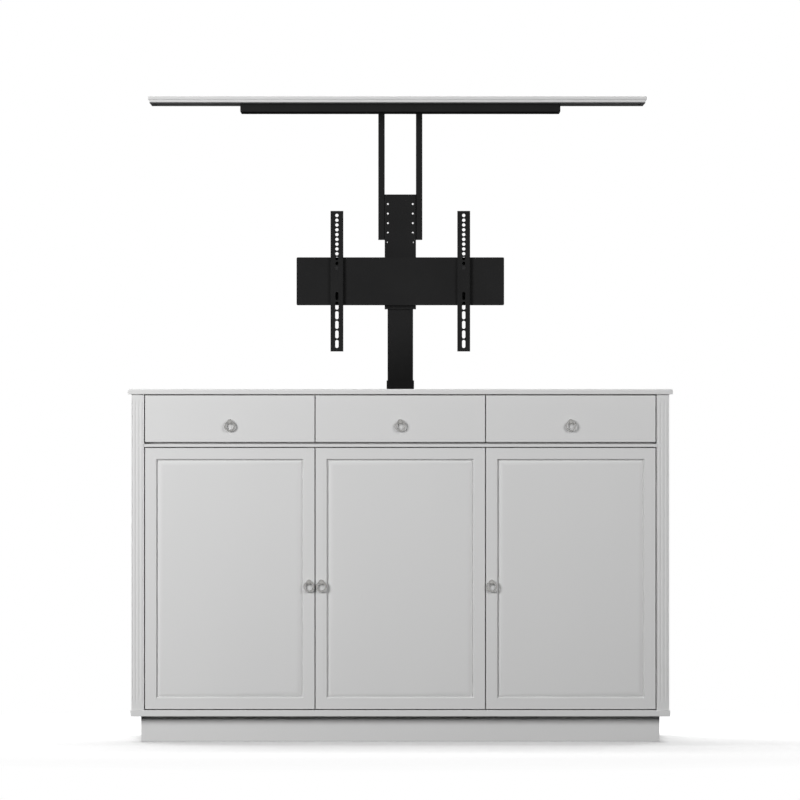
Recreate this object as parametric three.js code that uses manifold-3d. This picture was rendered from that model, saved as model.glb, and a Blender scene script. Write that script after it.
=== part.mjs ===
// A cabinet with three drawers over three doors, and a telescopic lift for a screen in a well
// behind them. Millimetres, +Z up, front towards -Y, origin on the floor under the middle.
// Everything stands as it does with the lift raised, the doors and drawers shut.

import * as THREE from 'three';
import { mergeVertices } from 'three/addons/utils/BufferGeometryUtils.js';
import Module from 'manifold-3d';

const wasm = await Module();
wasm.setup();

// Sizes shared by the whole cabinet
const cabinetWidth = 1658;
const cabinetDepth = 560;
const bayCount = 3;
const panelThickness = 18;
const seatGap = 0.3;
const revealGap = 3;
const cutOverrun = 5;

// Base
const plinthHeight = 78.2;
const plinthInset = 29;
const plinthSetback = 30;
const plinthThickness = 18;
const bottomThickness = 19.4;
const mouldingOverhang = 3;
const mouldingRadius = 2.5;
const mouldingTopRadius = 2;

// Top
const topThickness = 16;
const topOverhang = 11;
const topFrontOverhang = 9;
const noseTopRadius = 5;
const noseBottomRadius = 3;

// Pilasters and their reeds, whose crests lie in the face
const pilasterWidth = 39;
const pilasterThickness = 22;
const stileDepth = 80;
const reedCount = 3;
const reedPitch = 10.8;
const reedDepth = 1.3;
const reedShoulder = 1.2;
const reedRunOut = 25;
const reedBottomMargin = 11;
const reedTopMargin = 6.5;

// Doors, drawer fronts and the deck between them
const doorHeight = 805.3;
const frontThickness = 20;
const frontEdgeRadius = 1.5;
const doorFrame = 33.5;
const doorStepWidth = 6.5;
const doorStepDepth = 5.5;
const doorCoveWidth = 14;
const doorCoveShares = [[0.33, 0.49], [0.66, 0.82]];
const doorFieldSetback = 3.5;
const drawerFrontHeight = 143.9;
const drawerTopReveal = 3.5;
const railThickness = 9;
const railDepth = 16;
const railReveal = 6.2;
const drawerRunnerGap = 3.9167;
const drawerBackGap = 11.7;
const drawerBoxHeight = 112;
const drawerWall = 12;
const drawerFloor = 8;
const drawerFloorRise = 6;

// Inside of the cabinet
const partitionThickness = 12;
const wellMargin = 6;
const backThickness = 6;
const dividerSetback = 2;
const shelfThickness = 16;
const shelfSetback = 35;
const shelfHeight = 480;
const cableCutWidth = 240;
const cableCutHeight = 120;
const cableCutRadius = 25;
const cableCutRise = 110;

// Ring pulls
const postRadius = 6;
const postReach = 15;
const roseRadius = 8;
const roseThickness = 2;
const ringRadius = 14.25;
const ringStock = 2.5;
const ringStandOff = 8.5;
const ringPlay = 0.4;
const eyeShares = [-1, -0.55, 0, 0.55, 1];
const postDome = 2.5;
const doorPullInset = 17.5;
const doorPullHeight = 391.4;
const drawerPullDrop = 9.3;

// Concealed hinges
const cupRadius = 17.5;
const cupDepth = 11.5;
const cupEdgeMargin = 5;
const hingeEndDistance = 100;
const hingeFlangeHeight = 52;
const hingeFlangeWidth = 26;
const hingeFlangeThickness = 1.6;
const hingeArmHeight = 16;
const hingeArmThickness = 9;
const hingeArmDepth = 26;

// Lid
const lidSideMargin = 52.5;
const lidBackMargin = 18;
const lidDepth = 292;
const lidOffset = -9;
const lidThickness = 12;
const lidNoseRadius = 4;
const lidStepInset = 6;
const lidStepThickness = 7;
const lidClearance = 2.5;
const trayWidth = 998;
const trayDepth = 220;
const trayHeight = 27.5;
const trayWall = 2;
const traySetback = 36;

// Telescopic column
const columnBackMargin = 75;
const stageStroke = 450;
const innerTubeWidth = 80;
const innerTubeWall = 2.5;
const middleTubeWidth = 86;
const outerTubeWall = 2.5;
const outerTubeHeight = 559;
const tubeCornerRadius = 3;
const stageEndClearance = 3;
const innerTubeProud = 2;
const footWidth = 230;
const footDepth = 126;
const footThickness = 7.9;
const footOffset = -35;
const footCornerRadius = 10;
const collarWall = 6;
const collarHeight = 28;
const spindleRadius = 9;
const spindleLength = 520;
const spindleFlangeRadius = 22;
const spindleFlangeThickness = 8;

// Gear motor and control box
const gearboxWidth = 72;
const gearboxDepth = 78;
const gearboxHeight = 62;
const motorRadius = 30;
const motorHeight = 150;
const motorCapRadius = 24;
const motorCapHeight = 12;
const edgeRadius = 4;
const controlBoxWidth = 180;
const controlBoxDepth = 90;
const controlBoxHeight = 44;
const controlBoxSpacing = 40;
const inletWidth = 28;
const inletHeight = 20;
const inletDepth = 14;
const inletPinSize = 3;
const inletPinLength = 9;
const inletPinPitch = 7;

// Screen mount
const bracketWidth = 97.5;
const bracketHeight = 360;
const bracketFlange = 42;
const sheet = 2.5;
const bracketRise = 131;
const bracketChamferWidth = 9;
const bracketChamferHeight = 12;
const bracketHoleCount = 5;
const bracketHolePitch = 30;
const bracketHoleRadius = 3.5;
const bracketHoleSpread = 39;
const tubeToBracket = 0.4;
const headWidth = 60;
const headPlate = 6;
const headCapThickness = 10;
const headHeight = 122;
const crossbarWidth = 650;
const crossbarHeight = 150;
const crossbarDepth = 24;
const crossbarWall = 3;
const crossbarRadius = 4;
const crossbarDrop = 197.5;
const armSpacing = 397;
const armWidth = 40;
const armHeight = 440;
const armDepth = 12;
const armWall = 3;
const armHoleRadius = 5.1;
const armHoleCount = 12;
const armHolePitch = 15;
const armHoleEnd = 14;
const armSlotLength = 25;
const armSlotCount = 6;
const armSlotPitch = 30;
const armSlotEnd = 23.5;
const lidArmWidth = 20;
const lidArmDepth = 40;
const lidArmWall = 2;
const lidArmLap = 142;
const lidArmSetback = 4;

// Finishes
function finish(colour, roughness, metalness) {
  return new THREE.MeshStandardMaterial({ color: colour, roughness, metalness });
}
const whitePaint = finish(0xe9e9e7, 0.5, 0);
const paleBoard = finish(0xdedad2, 0.7, 0);
const blackMetal = finish(0x1c1c1d, 0.5, 0.4);
const brightMetal = finish(0xc9cacc, 0.2, 1);
const greyMetal = finish(0x9a9c9f, 0.35, 1);
const blackPlastic = finish(0x232325, 0.6, 0);

// Heights and depths that follow from the sizes
const frontY = -cabinetDepth / 2;
const backY = cabinetDepth / 2;
const halfWidth = cabinetWidth / 2;
const sideInner = halfWidth - panelThickness;
const openingHalf = halfWidth - pilasterWidth;
const frontBackY = frontY + frontThickness;
const stileBackY = frontY + pilasterThickness + stileDepth;
const lidWidth = cabinetWidth - 2 * lidSideMargin;
const lidFront = backY - lidBackMargin - lidDepth;
const wellFront = lidFront - wellMargin;
const partitionFront = wellFront - partitionThickness;
const columnDepthPlace = backY - columnBackMargin;

const bottomPlace = plinthHeight + seatGap;
const floorHeight = bottomPlace + bottomThickness;
const carcassBottom = floorHeight + seatGap;
const doorBottom = floorHeight + revealGap;
const doorTop = doorBottom + doorHeight;
const railBottom = doorTop + revealGap;
const railTop = railBottom + railThickness;
const drawerFrontBottom = railTop + railReveal;
const deckTop = drawerFrontBottom - seatGap;
const drawerFrontTop = drawerFrontBottom + drawerFrontHeight;
const topPlace = drawerFrontTop + drawerTopReveal;
const carcassTop = topPlace - seatGap;
const cabinetHeight = topPlace + topThickness;

const frontWidth = (2 * openingHalf - (bayCount + 1) * revealGap) / bayCount;
const bayPitch = frontWidth + revealGap;
const bayNames = ['left', 'middle', 'right'];
const bayCentres = bayNames.map((name, index) => (index - (bayCount - 1) / 2) * bayPitch);
const dividerPlaces = [-bayPitch / 2, bayPitch / 2];
const drawerBoxWidth = bayPitch - panelThickness - 2 * drawerRunnerGap;
const drawerBoxDepth = partitionFront - drawerBackGap - frontBackY - seatGap;

const liftStroke = 2 * stageStroke;
const lipBottom = cabinetHeight + seatGap + liftStroke;
const lidBottom = lipBottom - lidStepThickness;
const trayTop = lidBottom - seatGap;
const trayBottom = trayTop - trayHeight;

const middleTubeInner = innerTubeWidth + 2 * seatGap;
const outerTubeInner = middleTubeWidth + 2 * seatGap;
const outerTubeWidth = outerTubeInner + 2 * outerTubeWall;
const footTop = carcassBottom + footThickness;
const outerTubeBottom = footTop + seatGap;
const outerTubeTop = outerTubeBottom + outerTubeHeight;
const middleTubeLength = outerTubeHeight - stageEndClearance;
const middleTubeTop = outerTubeTop + stageStroke;
const innerTubeTop = middleTubeTop + stageStroke + innerTubeProud;
const innerTubeLength = middleTubeLength + innerTubeProud - stageEndClearance;
const columnFront = columnDepthPlace - outerTubeWidth / 2;

const headBottom = innerTubeTop + seatGap;
const bracketBackY = columnFront - tubeToBracket;
const bracketFrontY = bracketBackY - sheet;
const bracketTop = innerTubeTop + bracketRise;
const crossbarBackY = bracketFrontY - seatGap;
const crossbarFrontY = crossbarBackY - crossbarDepth;
const crossbarTop = bracketTop - crossbarDrop;
const crossbarMiddle = crossbarTop - crossbarHeight / 2;
const armBackY = crossbarFrontY - seatGap;
const armFrontY = armBackY - armDepth;
const lidArmBottom = bracketTop - lidArmLap;

// Solids from closed geometry, joined and cut, and back to geometry
function solid(geometry) {
  const bare = geometry.index ? geometry.clone() : geometry;
  bare.deleteAttribute('normal');
  bare.deleteAttribute('uv');
  const merged = mergeVertices(bare, 1e-4);
  return new wasm.Manifold(new wasm.Mesh({
    numProp: 3,
    vertProperties: new Float32Array(merged.attributes.position.array),
    triVerts: new Uint32Array(merged.index.array),
  }));
}

function geometryOf(body) {
  const result = body.getMesh();
  const geometry = new THREE.BufferGeometry();
  geometry.setAttribute('position', new THREE.BufferAttribute(new Float32Array(result.vertProperties), 3));
  geometry.setIndex(new THREE.BufferAttribute(new Uint32Array(result.triVerts), 1));
  geometry.computeVertexNormals();
  return geometry;
}

function cut(base, tools) {
  return geometryOf(tools.reduce((body, tool) => body.subtract(solid(tool)), solid(base)));
}

function join(pieces) {
  return geometryOf(pieces.slice(1).reduce((body, piece) => body.add(solid(piece)), solid(pieces[0])));
}

// A block between two x, two y and two z values
function block(x, y, z) {
  const geometry = new THREE.BoxGeometry(x[1] - x[0], y[1] - y[0], z[1] - z[0]);
  return geometry.translate((x[0] + x[1]) / 2, (y[0] + y[1]) / 2, (z[0] + z[1]) / 2);
}

// A round rod along an axis, centred on a point
function rod(axis, radius, length, centre, sides) {
  const geometry = new THREE.CylinderGeometry(radius, radius, length, sides);
  if (axis === 'x') geometry.rotateZ(-Math.PI / 2);
  if (axis === 'z') geometry.rotateX(Math.PI / 2);
  return geometry.translate(centre[0], centre[1], centre[2]);
}

// A rectangle centred on a point, with round corners
function roundRectangle(width, height, radius, centreX = 0, centreY = 0) {
  const shape = new THREE.Shape();
  const right = centreX + width / 2;
  const left = centreX - width / 2;
  const top = centreY + height / 2;
  const bottom = centreY - height / 2;
  shape.absarc(right - radius, bottom + radius, radius, -Math.PI / 2, 0);
  shape.absarc(right - radius, top - radius, radius, 0, Math.PI / 2);
  shape.absarc(left + radius, top - radius, radius, Math.PI / 2, Math.PI);
  shape.absarc(left + radius, bottom + radius, radius, Math.PI, 1.5 * Math.PI);
  shape.closePath();
  return shape;
}

// A prism of a flat outline, standing on z
function prism(shape, height, z, segments = 3) {
  const settings = { depth: height, bevelEnabled: false, curveSegments: segments };
  const geometry = new THREE.ExtrudeGeometry(shape, settings);
  return geometry.translate(0, 0, z);
}

// A solid through rings of as many points each, counterclockwise seen from above
function ringStack(rings) {
  const count = rings[0].length;
  const faces = [];
  for (let level = 0; level < rings.length - 1; level += 1) {
    for (let corner = 0; corner < count; corner += 1) {
      const here = count * level + corner;
      const next = count * level + (corner + 1) % count;
      faces.push(here, next, next + count, here, next + count, here + count);
    }
  }
  const last = count * (rings.length - 1);
  const flat = rings[0].map(([x, y]) => new THREE.Vector2(x, y));
  for (const [a, b, c] of THREE.ShapeUtils.triangulateShape(flat, [])) {
    faces.push(c, b, a, last + a, last + b, last + c);
  }
  const geometry = new THREE.BufferGeometry();
  geometry.setAttribute('position', new THREE.Float32BufferAttribute(rings.flat(2), 3));
  geometry.setIndex(faces);
  return geometry;
}

// A stack of rectangles, each given by its half sizes and its place along z
function rectangleStack(rings) {
  return ringStack(rings.map(([halfX, halfY, z]) => [
    [-halfX, -halfY, z], [halfX, -halfY, z], [halfX, halfY, z], [-halfX, halfY, z],
  ]));
}

// Quarter round between a flat and an edge, as insets and drops from the corner
function quarterRound(radius, steps) {
  return Array.from({ length: steps + 1 }, (unused, step) => {
    const angle = (step / steps) * Math.PI / 2;
    return [radius * (1 - Math.sin(angle)), radius * (1 - Math.cos(angle))];
  });
}

// A board lying flat whose edges have a round above and a round below
function nosedBoard(x, y, z, topRadius, bottomRadius) {
  const halfX = (x[1] - x[0]) / 2;
  const halfY = (y[1] - y[0]) / 2;
  const rings = [];
  for (const [inset, rise] of quarterRound(bottomRadius, 3)) {
    rings.push([halfX - inset, halfY - inset, z[0] + rise]);
  }
  for (const [inset, drop] of quarterRound(topRadius, 4).reverse()) {
    rings.push([halfX - inset, halfY - inset, z[1] - drop]);
  }
  return rectangleStack(rings).translate((x[0] + x[1]) / 2, (y[0] + y[1]) / 2, 0);
}

const part = new THREE.Group();

// A named piece, placed in its group
function add(group, name, geometry, material, place = [0, 0, 0]) {
  const piece = new THREE.Mesh(geometry, material);
  piece.name = name;
  piece.position.set(place[0], place[1], place[2]);
  group.add(piece);
  return piece;
}

function subGroup(parent, x, y, z) {
  const group = new THREE.Group();
  group.position.set(x, y, z);
  parent.add(group);
  return group;
}

// Plinth: a frame with a brace from front to back under the middle
function makePlinth() {
  const half = halfWidth - plinthInset;
  const front = frontY + plinthSetback;
  const outer = block([-half, half], [front, backY], [0, plinthHeight]);
  const bays = [-1, 1].map((side) => {
    const x = [side * plinthThickness / 2, side * (half - plinthThickness)].sort((a, b) => a - b);
    const y = [front + plinthThickness, backY - plinthThickness];
    return block(x, y, [-cutOverrun, plinthHeight + cutOverrun]);
  });
  return cut(outer, bays);
}

function makeBottomPanel() {
  const half = halfWidth + mouldingOverhang;
  const front = frontY - mouldingOverhang;
  const z = [bottomPlace, floorHeight];
  return nosedBoard([-half, half], [front, backY], z, mouldingTopRadius, mouldingRadius);
}

function makeTopPanel() {
  const half = halfWidth + topOverhang;
  const x = [-half, half];
  const y = [frontY - topFrontOverhang, backY];
  const board = nosedBoard(x, y, [topPlace, cabinetHeight], noseTopRadius, noseBottomRadius);
  const holeHalf = lidWidth / 2 - lidStepInset + lidClearance;
  const hole = block(
    [lidOffset - holeHalf, lidOffset + holeHalf],
    [lidFront + lidStepInset - lidClearance, lidFront + lidDepth - lidStepInset + lidClearance],
    [topPlace - cutOverrun, cabinetHeight + cutOverrun],
  );
  return cut(board, [hole]);
}

// Groove beside a reed, as points across it and into the face: on a side with a reed it follows
// the reed's curve up to its crest, and on the other side a short slope
function grooveProfile(reedOnLeft, reedOnRight) {
  const half = reedPitch / 2;
  const radius = (half ** 2 + reedDepth ** 2) / (2 * reedDepth);
  const steps = 4;
  const flank = (side, hasReed) => {
    if (!hasReed) return [[side * reedShoulder, 0]];
    return Array.from({ length: steps }, (unused, step) => {
      const fromCrest = (step / steps) * half;
      return [side * (half - fromCrest), radius - Math.sqrt(radius ** 2 - fromCrest ** 2)];
    });
  };
  return [...flank(1, reedOnRight), [0, reedDepth], ...flank(-1, reedOnLeft).reverse()];
}

// Cutter for one groove, lifted out of the face at both ends, so that the groove runs out there
function makeGroove(across, reedOnLeft, reedOnRight, bottom, top) {
  const profile = grooveProfile(reedOnLeft, reedOnRight);
  const right = profile[0][0];
  const left = profile[profile.length - 1][0];
  const section = [[left, -cutOverrun], [right, -cutOverrun], ...profile];
  const levels = [[bottom, reedDepth], [bottom + reedRunOut, 0], [top - reedRunOut, 0], [top, reedDepth]];
  return ringStack(levels.map(([z, lift]) => section.map(([x, y]) => [across + x, frontY + y - lift, z])));
}

// Pilaster with reeds in its face, and the stile behind it that takes the hinge plates
function makePilaster(side) {
  const outer = side * halfWidth;
  const inner = side * openingHalf;
  const x = [outer, inner].sort((a, b) => a - b);
  const stileX = [side * (sideInner - seatGap), inner].sort((a, b) => a - b);
  const z = [carcassBottom, carcassTop];
  const front = block(x, [frontY, frontY + pilasterThickness], z);
  const stile = block(stileX, [frontY + reedDepth, stileBackY], z);
  const bottom = carcassBottom + reedBottomMargin;
  const top = carcassTop - reedTopMargin;
  const middle = (outer + inner) / 2;
  const grooves = [];
  for (let index = 0; index <= reedCount; index += 1) {
    const across = middle + (index - reedCount / 2) * reedPitch;
    grooves.push(makeGroove(across, index > 0, index < reedCount, bottom, top));
  }
  return cut(join([front, stile]), grooves);
}

function makeSidePanel(side) {
  const x = [side * halfWidth, side * sideInner].sort((a, b) => a - b);
  return block(x, [frontY + pilasterThickness + seatGap, backY], [carcassBottom, carcassTop]);
}

function makeBackPanel() {
  const half = sideInner - seatGap;
  const y = [backY - backThickness - seatGap, backY - seatGap];
  const panel = block([-half, half], y, [carcassBottom, carcassTop]);
  const outline = roundRectangle(cableCutWidth, cableCutHeight, cableCutRadius);
  const hole = prism(outline, backThickness + 2 * cutOverrun, 0).rotateX(Math.PI / 2);
  hole.translate(0, backY + cutOverrun, floorHeight + cableCutRise + cableCutHeight / 2);
  return cut(panel, [hole]);
}

function makePartition() {
  const half = sideInner - seatGap;
  return block([-half, half], [partitionFront, wellFront], [carcassBottom, carcassTop]);
}

// Deck that carries the drawers: a board with a thin nosing that shows as the rail under them
function makeDeck() {
  const narrow = openingHalf - seatGap;
  const wide = sideInner - seatGap;
  const back = partitionFront - seatGap;
  const nosingBack = frontY + railDepth;
  const nosing = block([-narrow, narrow], [frontY, nosingBack + railDepth], [railBottom, railTop]);
  const front = block([-narrow, narrow], [nosingBack, stileBackY + seatGap], [railBottom, deckTop]);
  const rear = block([-wide, wide], [stileBackY + seatGap, back], [railBottom, deckTop]);
  return join([nosing, join([front, rear])]);
}

function makeDivider(place, bottom, top) {
  const x = [place - panelThickness / 2, place + panelThickness / 2];
  return block(x, [frontBackY + dividerSetback, partitionFront - seatGap], [bottom, top]);
}

function makeShelf(index) {
  const left = index === 0 ? -openingHalf : dividerPlaces[index - 1] + panelThickness / 2;
  const right = index === bayCount - 1 ? openingHalf : dividerPlaces[index] - panelThickness / 2;
  const z = [shelfHeight, shelfHeight + shelfThickness];
  const y = [frontBackY + shelfSetback, partitionFront - seatGap];
  return block([left + seatGap, right - seatGap], y, z);
}

// A slab standing on its bottom edge, its back at y = frontThickness, its face towards -Y
function standSlab(rings, height) {
  return rectangleStack(rings).rotateX(Math.PI / 2).translate(0, frontThickness, height / 2);
}

// Rings of a slab whose front corners are rounded a little
function slabRings(width, height) {
  const rings = [[width / 2, height / 2, 0]];
  for (const [inset, setback] of quarterRound(frontEdgeRadius, 2).reverse()) {
    rings.push([width / 2 - inset, height / 2 - inset, frontThickness - setback]);
  }
  return rings;
}

function makeDrawerFront() {
  return standSlab(slabRings(frontWidth, drawerFrontHeight), drawerFrontHeight);
}

// Panelled door: a sloped step down inside the frame, a shallow cove up to the flat field, and
// two cup bores in the back, beside the edge that carries the hinges
function makeDoor(hingeSide, hingeHeights) {
  const rings = slabRings(frontWidth, doorHeight);
  const coveStart = doorFrame + doorStepWidth;
  const coveRise = doorStepDepth - doorFieldSetback;
  const profile = [[doorFrame, 0], [coveStart, doorStepDepth]];
  for (const [along, up] of doorCoveShares) {
    profile.push([coveStart + along * doorCoveWidth, doorStepDepth - up * coveRise]);
  }
  profile.push([coveStart + doorCoveWidth, doorFieldSetback]);
  for (const [inset, setback] of profile) {
    rings.push([frontWidth / 2 - inset, doorHeight / 2 - inset, frontThickness - setback]);
  }
  const across = hingeSide * (frontWidth / 2 - cupEdgeMargin - cupRadius);
  const bores = hingeHeights.map((height) => {
    const centre = [across, frontThickness - cupDepth / 2 + cutOverrun / 2, height];
    return rod('y', cupRadius, cupDepth + cutOverrun, centre, 24);
  });
  return cut(standSlab(rings, doorHeight), bores);
}

// Hinge cup in its bore, its flange on the back of the door, and the arm out to the side
function makeHinge(hingeSide, reach) {
  const flangeY = [seatGap, seatGap + hingeFlangeThickness];
  const cupY = seatGap + (hingeFlangeThickness - cupDepth) / 2;
  const cup = rod('y', cupRadius - seatGap, cupDepth, [0, cupY, 0], 24);
  const flange = block(
    [-hingeFlangeWidth / 2, hingeFlangeWidth / 2],
    flangeY,
    [-hingeFlangeHeight / 2, hingeFlangeHeight / 2],
  );
  const armX = [-hingeSide * hingeArmHeight / 2, hingeSide * reach].sort((a, b) => a - b);
  const halfArm = hingeArmHeight / 2;
  const bridge = block(armX, [seatGap, flangeY[1] + hingeArmThickness], [-halfArm, halfArm]);
  const footX = [hingeSide * (reach - hingeArmThickness), hingeSide * reach].sort((a, b) => a - b);
  const foot = block(footX, [seatGap, hingeArmDepth], [-halfArm, halfArm]);
  return join([cup, flange, bridge, foot]);
}

// Eye across a post, wider at its mouths because the ring that swings in it is curved
function makeEye() {
  const half = postRadius + seatGap;
  const innerRing = ringRadius - ringStock;
  const profile = eyeShares.map((share) => {
    const rise = ringRadius - Math.sqrt(innerRing ** 2 - (share * half) ** 2);
    return new THREE.Vector2(rise + ringPlay, share * half);
  });
  profile.unshift(new THREE.Vector2(0, -half));
  profile.push(new THREE.Vector2(0, half));
  return new THREE.LatheGeometry(profile, 16).rotateZ(-Math.PI / 2);
}

// Post of a ring pull: rose, post with a domed end, and the eye for the ring
function makePost() {
  const profile = [
    new THREE.Vector2(0, 0),
    new THREE.Vector2(roseRadius, 0),
    new THREE.Vector2(roseRadius, roseThickness),
    new THREE.Vector2(postRadius, roseThickness),
  ];
  const steps = 4;
  for (let step = 0; step <= steps; step += 1) {
    const angle = (step / steps) * Math.PI / 2;
    const height = postReach - postDome + postDome * Math.sin(angle);
    profile.push(new THREE.Vector2(postRadius * Math.cos(angle), height));
  }
  const body = new THREE.LatheGeometry(profile, 20);
  const eye = makeEye().translate(0, -(ringStandOff - seatGap), 0);
  return cut(body.rotateX(Math.PI), [eye]);
}

// The ring hangs in the eye, a little below its middle
function makeRing() {
  return new THREE.TorusGeometry(ringRadius, ringStock, 10, 32).rotateX(Math.PI / 2);
}

// A post and its ring, on a group whose origin is on the face, in the middle of the post
function addPull(parent, owner, x, z) {
  const pull = subGroup(parent, x, -seatGap, z);
  add(pull, `${owner}_pull_post`, makePost(), brightMetal);
  add(pull, `${owner}_pull_ring`, makeRing(), brightMetal, [0, seatGap - ringStandOff, -ringRadius]);
}

// Drawer box, open at the top, with its floor let in a little above its lower edge
function makeDrawerBox() {
  const half = drawerBoxWidth / 2;
  const y = [frontThickness + seatGap, frontThickness + seatGap + drawerBoxDepth];
  const outer = block([-half, half], y, [0, drawerBoxHeight]);
  const inX = [-half + drawerWall, half - drawerWall];
  const inY = [y[0] + drawerWall, y[1] - drawerWall];
  const room = block(inX, inY, [drawerFloorRise + drawerFloor, drawerBoxHeight + cutOverrun]);
  const under = block(inX, inY, [-cutOverrun, drawerFloorRise]);
  return cut(outer, [room, under]);
}

// Square tube with round corners, standing on z
function squareTube(width, inner, length, z) {
  const shape = roundRectangle(width, width, tubeCornerRadius);
  const holeRadius = Math.min(tubeCornerRadius, (width - inner) / 2);
  shape.holes.push(roundRectangle(inner, inner, holeRadius));
  return prism(shape, length, z);
}

function makeFoot() {
  const outline = roundRectangle(footWidth, footDepth, footCornerRadius, footOffset, 0);
  const plate = prism(outline, footThickness, 0);
  const collarInner = outerTubeWidth + 2 * seatGap;
  const collar = squareTube(collarInner + 2 * collarWall, collarInner, collarHeight + footThickness, 0);
  return join([plate, collar]);
}

function makeSpindle() {
  const screw = rod('z', spindleRadius, spindleLength, [0, 0, spindleLength / 2], 16);
  const flangeCentre = [0, 0, spindleFlangeThickness / 2];
  const flange = rod('z', spindleFlangeRadius, spindleFlangeThickness, flangeCentre, 20);
  return join([screw, flange]);
}

// Gear motor: a gearbox on the foot plate, the motor standing on it, and its end cap
function makeGearMotor() {
  const outline = roundRectangle(gearboxWidth, gearboxDepth, edgeRadius);
  const gearbox = prism(outline, gearboxHeight, 0);
  const motorCentre = [0, 0, gearboxHeight + motorHeight / 2 - cutOverrun];
  const motor = rod('z', motorRadius, motorHeight, motorCentre, 28);
  const capHeight = gearboxHeight + motorHeight - cutOverrun;
  const cap = rod('z', motorCapRadius, 2 * motorCapHeight, [0, 0, capHeight], 28);
  return join([gearbox, motor, cap]);
}

// Control box with a recessed power inlet in its end
function makeControlBox() {
  const shape = roundRectangle(controlBoxWidth, controlBoxDepth, edgeRadius);
  const box = prism(shape, controlBoxHeight, 0);
  const end = -controlBoxWidth / 2;
  const middle = controlBoxHeight / 2;
  const recess = block(
    [end - cutOverrun, end + inletDepth],
    [-inletWidth / 2, inletWidth / 2],
    [middle - inletHeight / 2, middle + inletHeight / 2],
  );
  const pins = [-1, 0, 1].map((across) => {
    const y = across * inletPinPitch;
    const z = middle - Math.abs(across) * inletPinPitch / 2 + inletPinPitch / 4;
    const half = inletPinSize / 2;
    const x = [end + inletDepth - inletPinLength, end + inletDepth + half];
    return block(x, [y - half, y + half], [z - half, z + half]);
  });
  return join([cut(box, [recess]), ...pins]);
}

// Head on the inner tube: a cap, and a channel that the mast bracket is bolted to
function makeHead() {
  const capShape = roundRectangle(innerTubeWidth, innerTubeWidth, tubeCornerRadius);
  const cap = prism(capShape, headCapThickness, 0);
  const front = -(columnDepthPlace - bracketBackY) + seatGap;
  const back = innerTubeWidth / 2;
  const half = headWidth / 2;
  const channel = block([-half, half], [front, back], [0, headHeight]);
  const room = block(
    [-half + headPlate, half - headPlate],
    [front + headPlate, back + cutOverrun],
    [headCapThickness, headHeight + cutOverrun],
  );
  return cut(join([cap, channel]), [room]);
}

// Mast bracket: a channel open to the back that clears the outer tube, with two rows of
// round holes in its face and its lower corners cut off
function makeMastBracket() {
  const half = bracketWidth / 2;
  const outline = new THREE.Shape();
  outline.moveTo(-half + bracketChamferWidth, 0);
  outline.lineTo(half - bracketChamferWidth, 0);
  outline.lineTo(half, bracketChamferHeight);
  outline.lineTo(half, bracketHeight);
  outline.lineTo(-half, bracketHeight);
  outline.lineTo(-half, bracketChamferHeight);
  outline.closePath();
  for (const side of [-1, 1]) {
    for (let index = 0; index < bracketHoleCount; index += 1) {
      const hole = new THREE.Path();
      const height = bracketHeight - (index + 1) * bracketHolePitch;
      hole.absarc(side * bracketHoleSpread, height, bracketHoleRadius, 0, 2 * Math.PI);
      outline.holes.push(hole);
    }
  }
  const face = prism(outline, sheet, -sheet, 4).rotateX(Math.PI / 2);
  const flanges = [-1, 1].map((side) => {
    const x = [side * half, side * (half - sheet)].sort((a, b) => a - b);
    return block(x, [0, bracketFlange], [bracketChamferHeight, bracketHeight]);
  });
  return join([face, ...flanges]);
}

// Crossbar: a pressed tray, open to the back
function makeCrossbar() {
  const outline = roundRectangle(crossbarWidth, crossbarHeight, crossbarRadius);
  const inner = roundRectangle(
    crossbarWidth - 2 * crossbarWall,
    crossbarHeight - 2 * crossbarWall,
    crossbarRadius / 2,
  );
  const outer = prism(outline, crossbarDepth, -crossbarDepth).rotateX(Math.PI / 2);
  const roomDepth = crossbarDepth - crossbarWall + cutOverrun;
  const room = prism(inner, roomDepth, -crossbarDepth - cutOverrun).rotateX(Math.PI / 2);
  return cut(outer, [room]);
}

// Upright arm: a channel open to the back, round holes in its upper part, slots below
function makeArm() {
  const half = armWidth / 2;
  const outline = new THREE.Shape();
  outline.moveTo(-half, 0);
  outline.lineTo(half, 0);
  outline.lineTo(half, armHeight);
  outline.lineTo(-half, armHeight);
  outline.closePath();
  for (let index = 0; index < armHoleCount; index += 1) {
    const hole = new THREE.Path();
    hole.absarc(0, armHeight - armHoleEnd - index * armHolePitch, armHoleRadius, 0, 2 * Math.PI);
    outline.holes.push(hole);
  }
  const slotHalf = armSlotLength / 2 - armHoleRadius;
  for (let index = 0; index < armSlotCount; index += 1) {
    const slot = new THREE.Path();
    const middle = armSlotEnd + index * armSlotPitch;
    slot.absarc(0, middle + slotHalf, armHoleRadius, 0, Math.PI);
    slot.absarc(0, middle - slotHalf, armHoleRadius, Math.PI, 2 * Math.PI);
    slot.closePath();
    outline.holes.push(slot);
  }
  const face = prism(outline, armWall, -armWall, 4).rotateX(Math.PI / 2);
  const flanges = [-1, 1].map((side) => {
    const x = [side * half, side * (half - armWall)].sort((a, b) => a - b);
    return block(x, [0, armDepth], [0, armHeight]);
  });
  return join([face, ...flanges]);
}

function makeLidArm() {
  const shape = roundRectangle(lidArmWidth, lidArmDepth, lidArmWall);
  const innerWidth = lidArmWidth - 2 * lidArmWall;
  shape.holes.push(roundRectangle(innerWidth, lidArmDepth - 2 * lidArmWall, lidArmWall / 2));
  return prism(shape, trayBottom - seatGap - lidArmBottom, 0, 2);
}

// Lid tray: folded sheet, open at the top under the lid
function makeTray() {
  const half = trayWidth / 2;
  const outer = block([-half, half], [0, trayDepth], [0, trayHeight]);
  const room = block(
    [-half + trayWall, half - trayWall],
    [trayWall, trayDepth - trayWall],
    [trayWall, trayHeight + cutOverrun],
  );
  return cut(outer, [room]);
}

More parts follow.
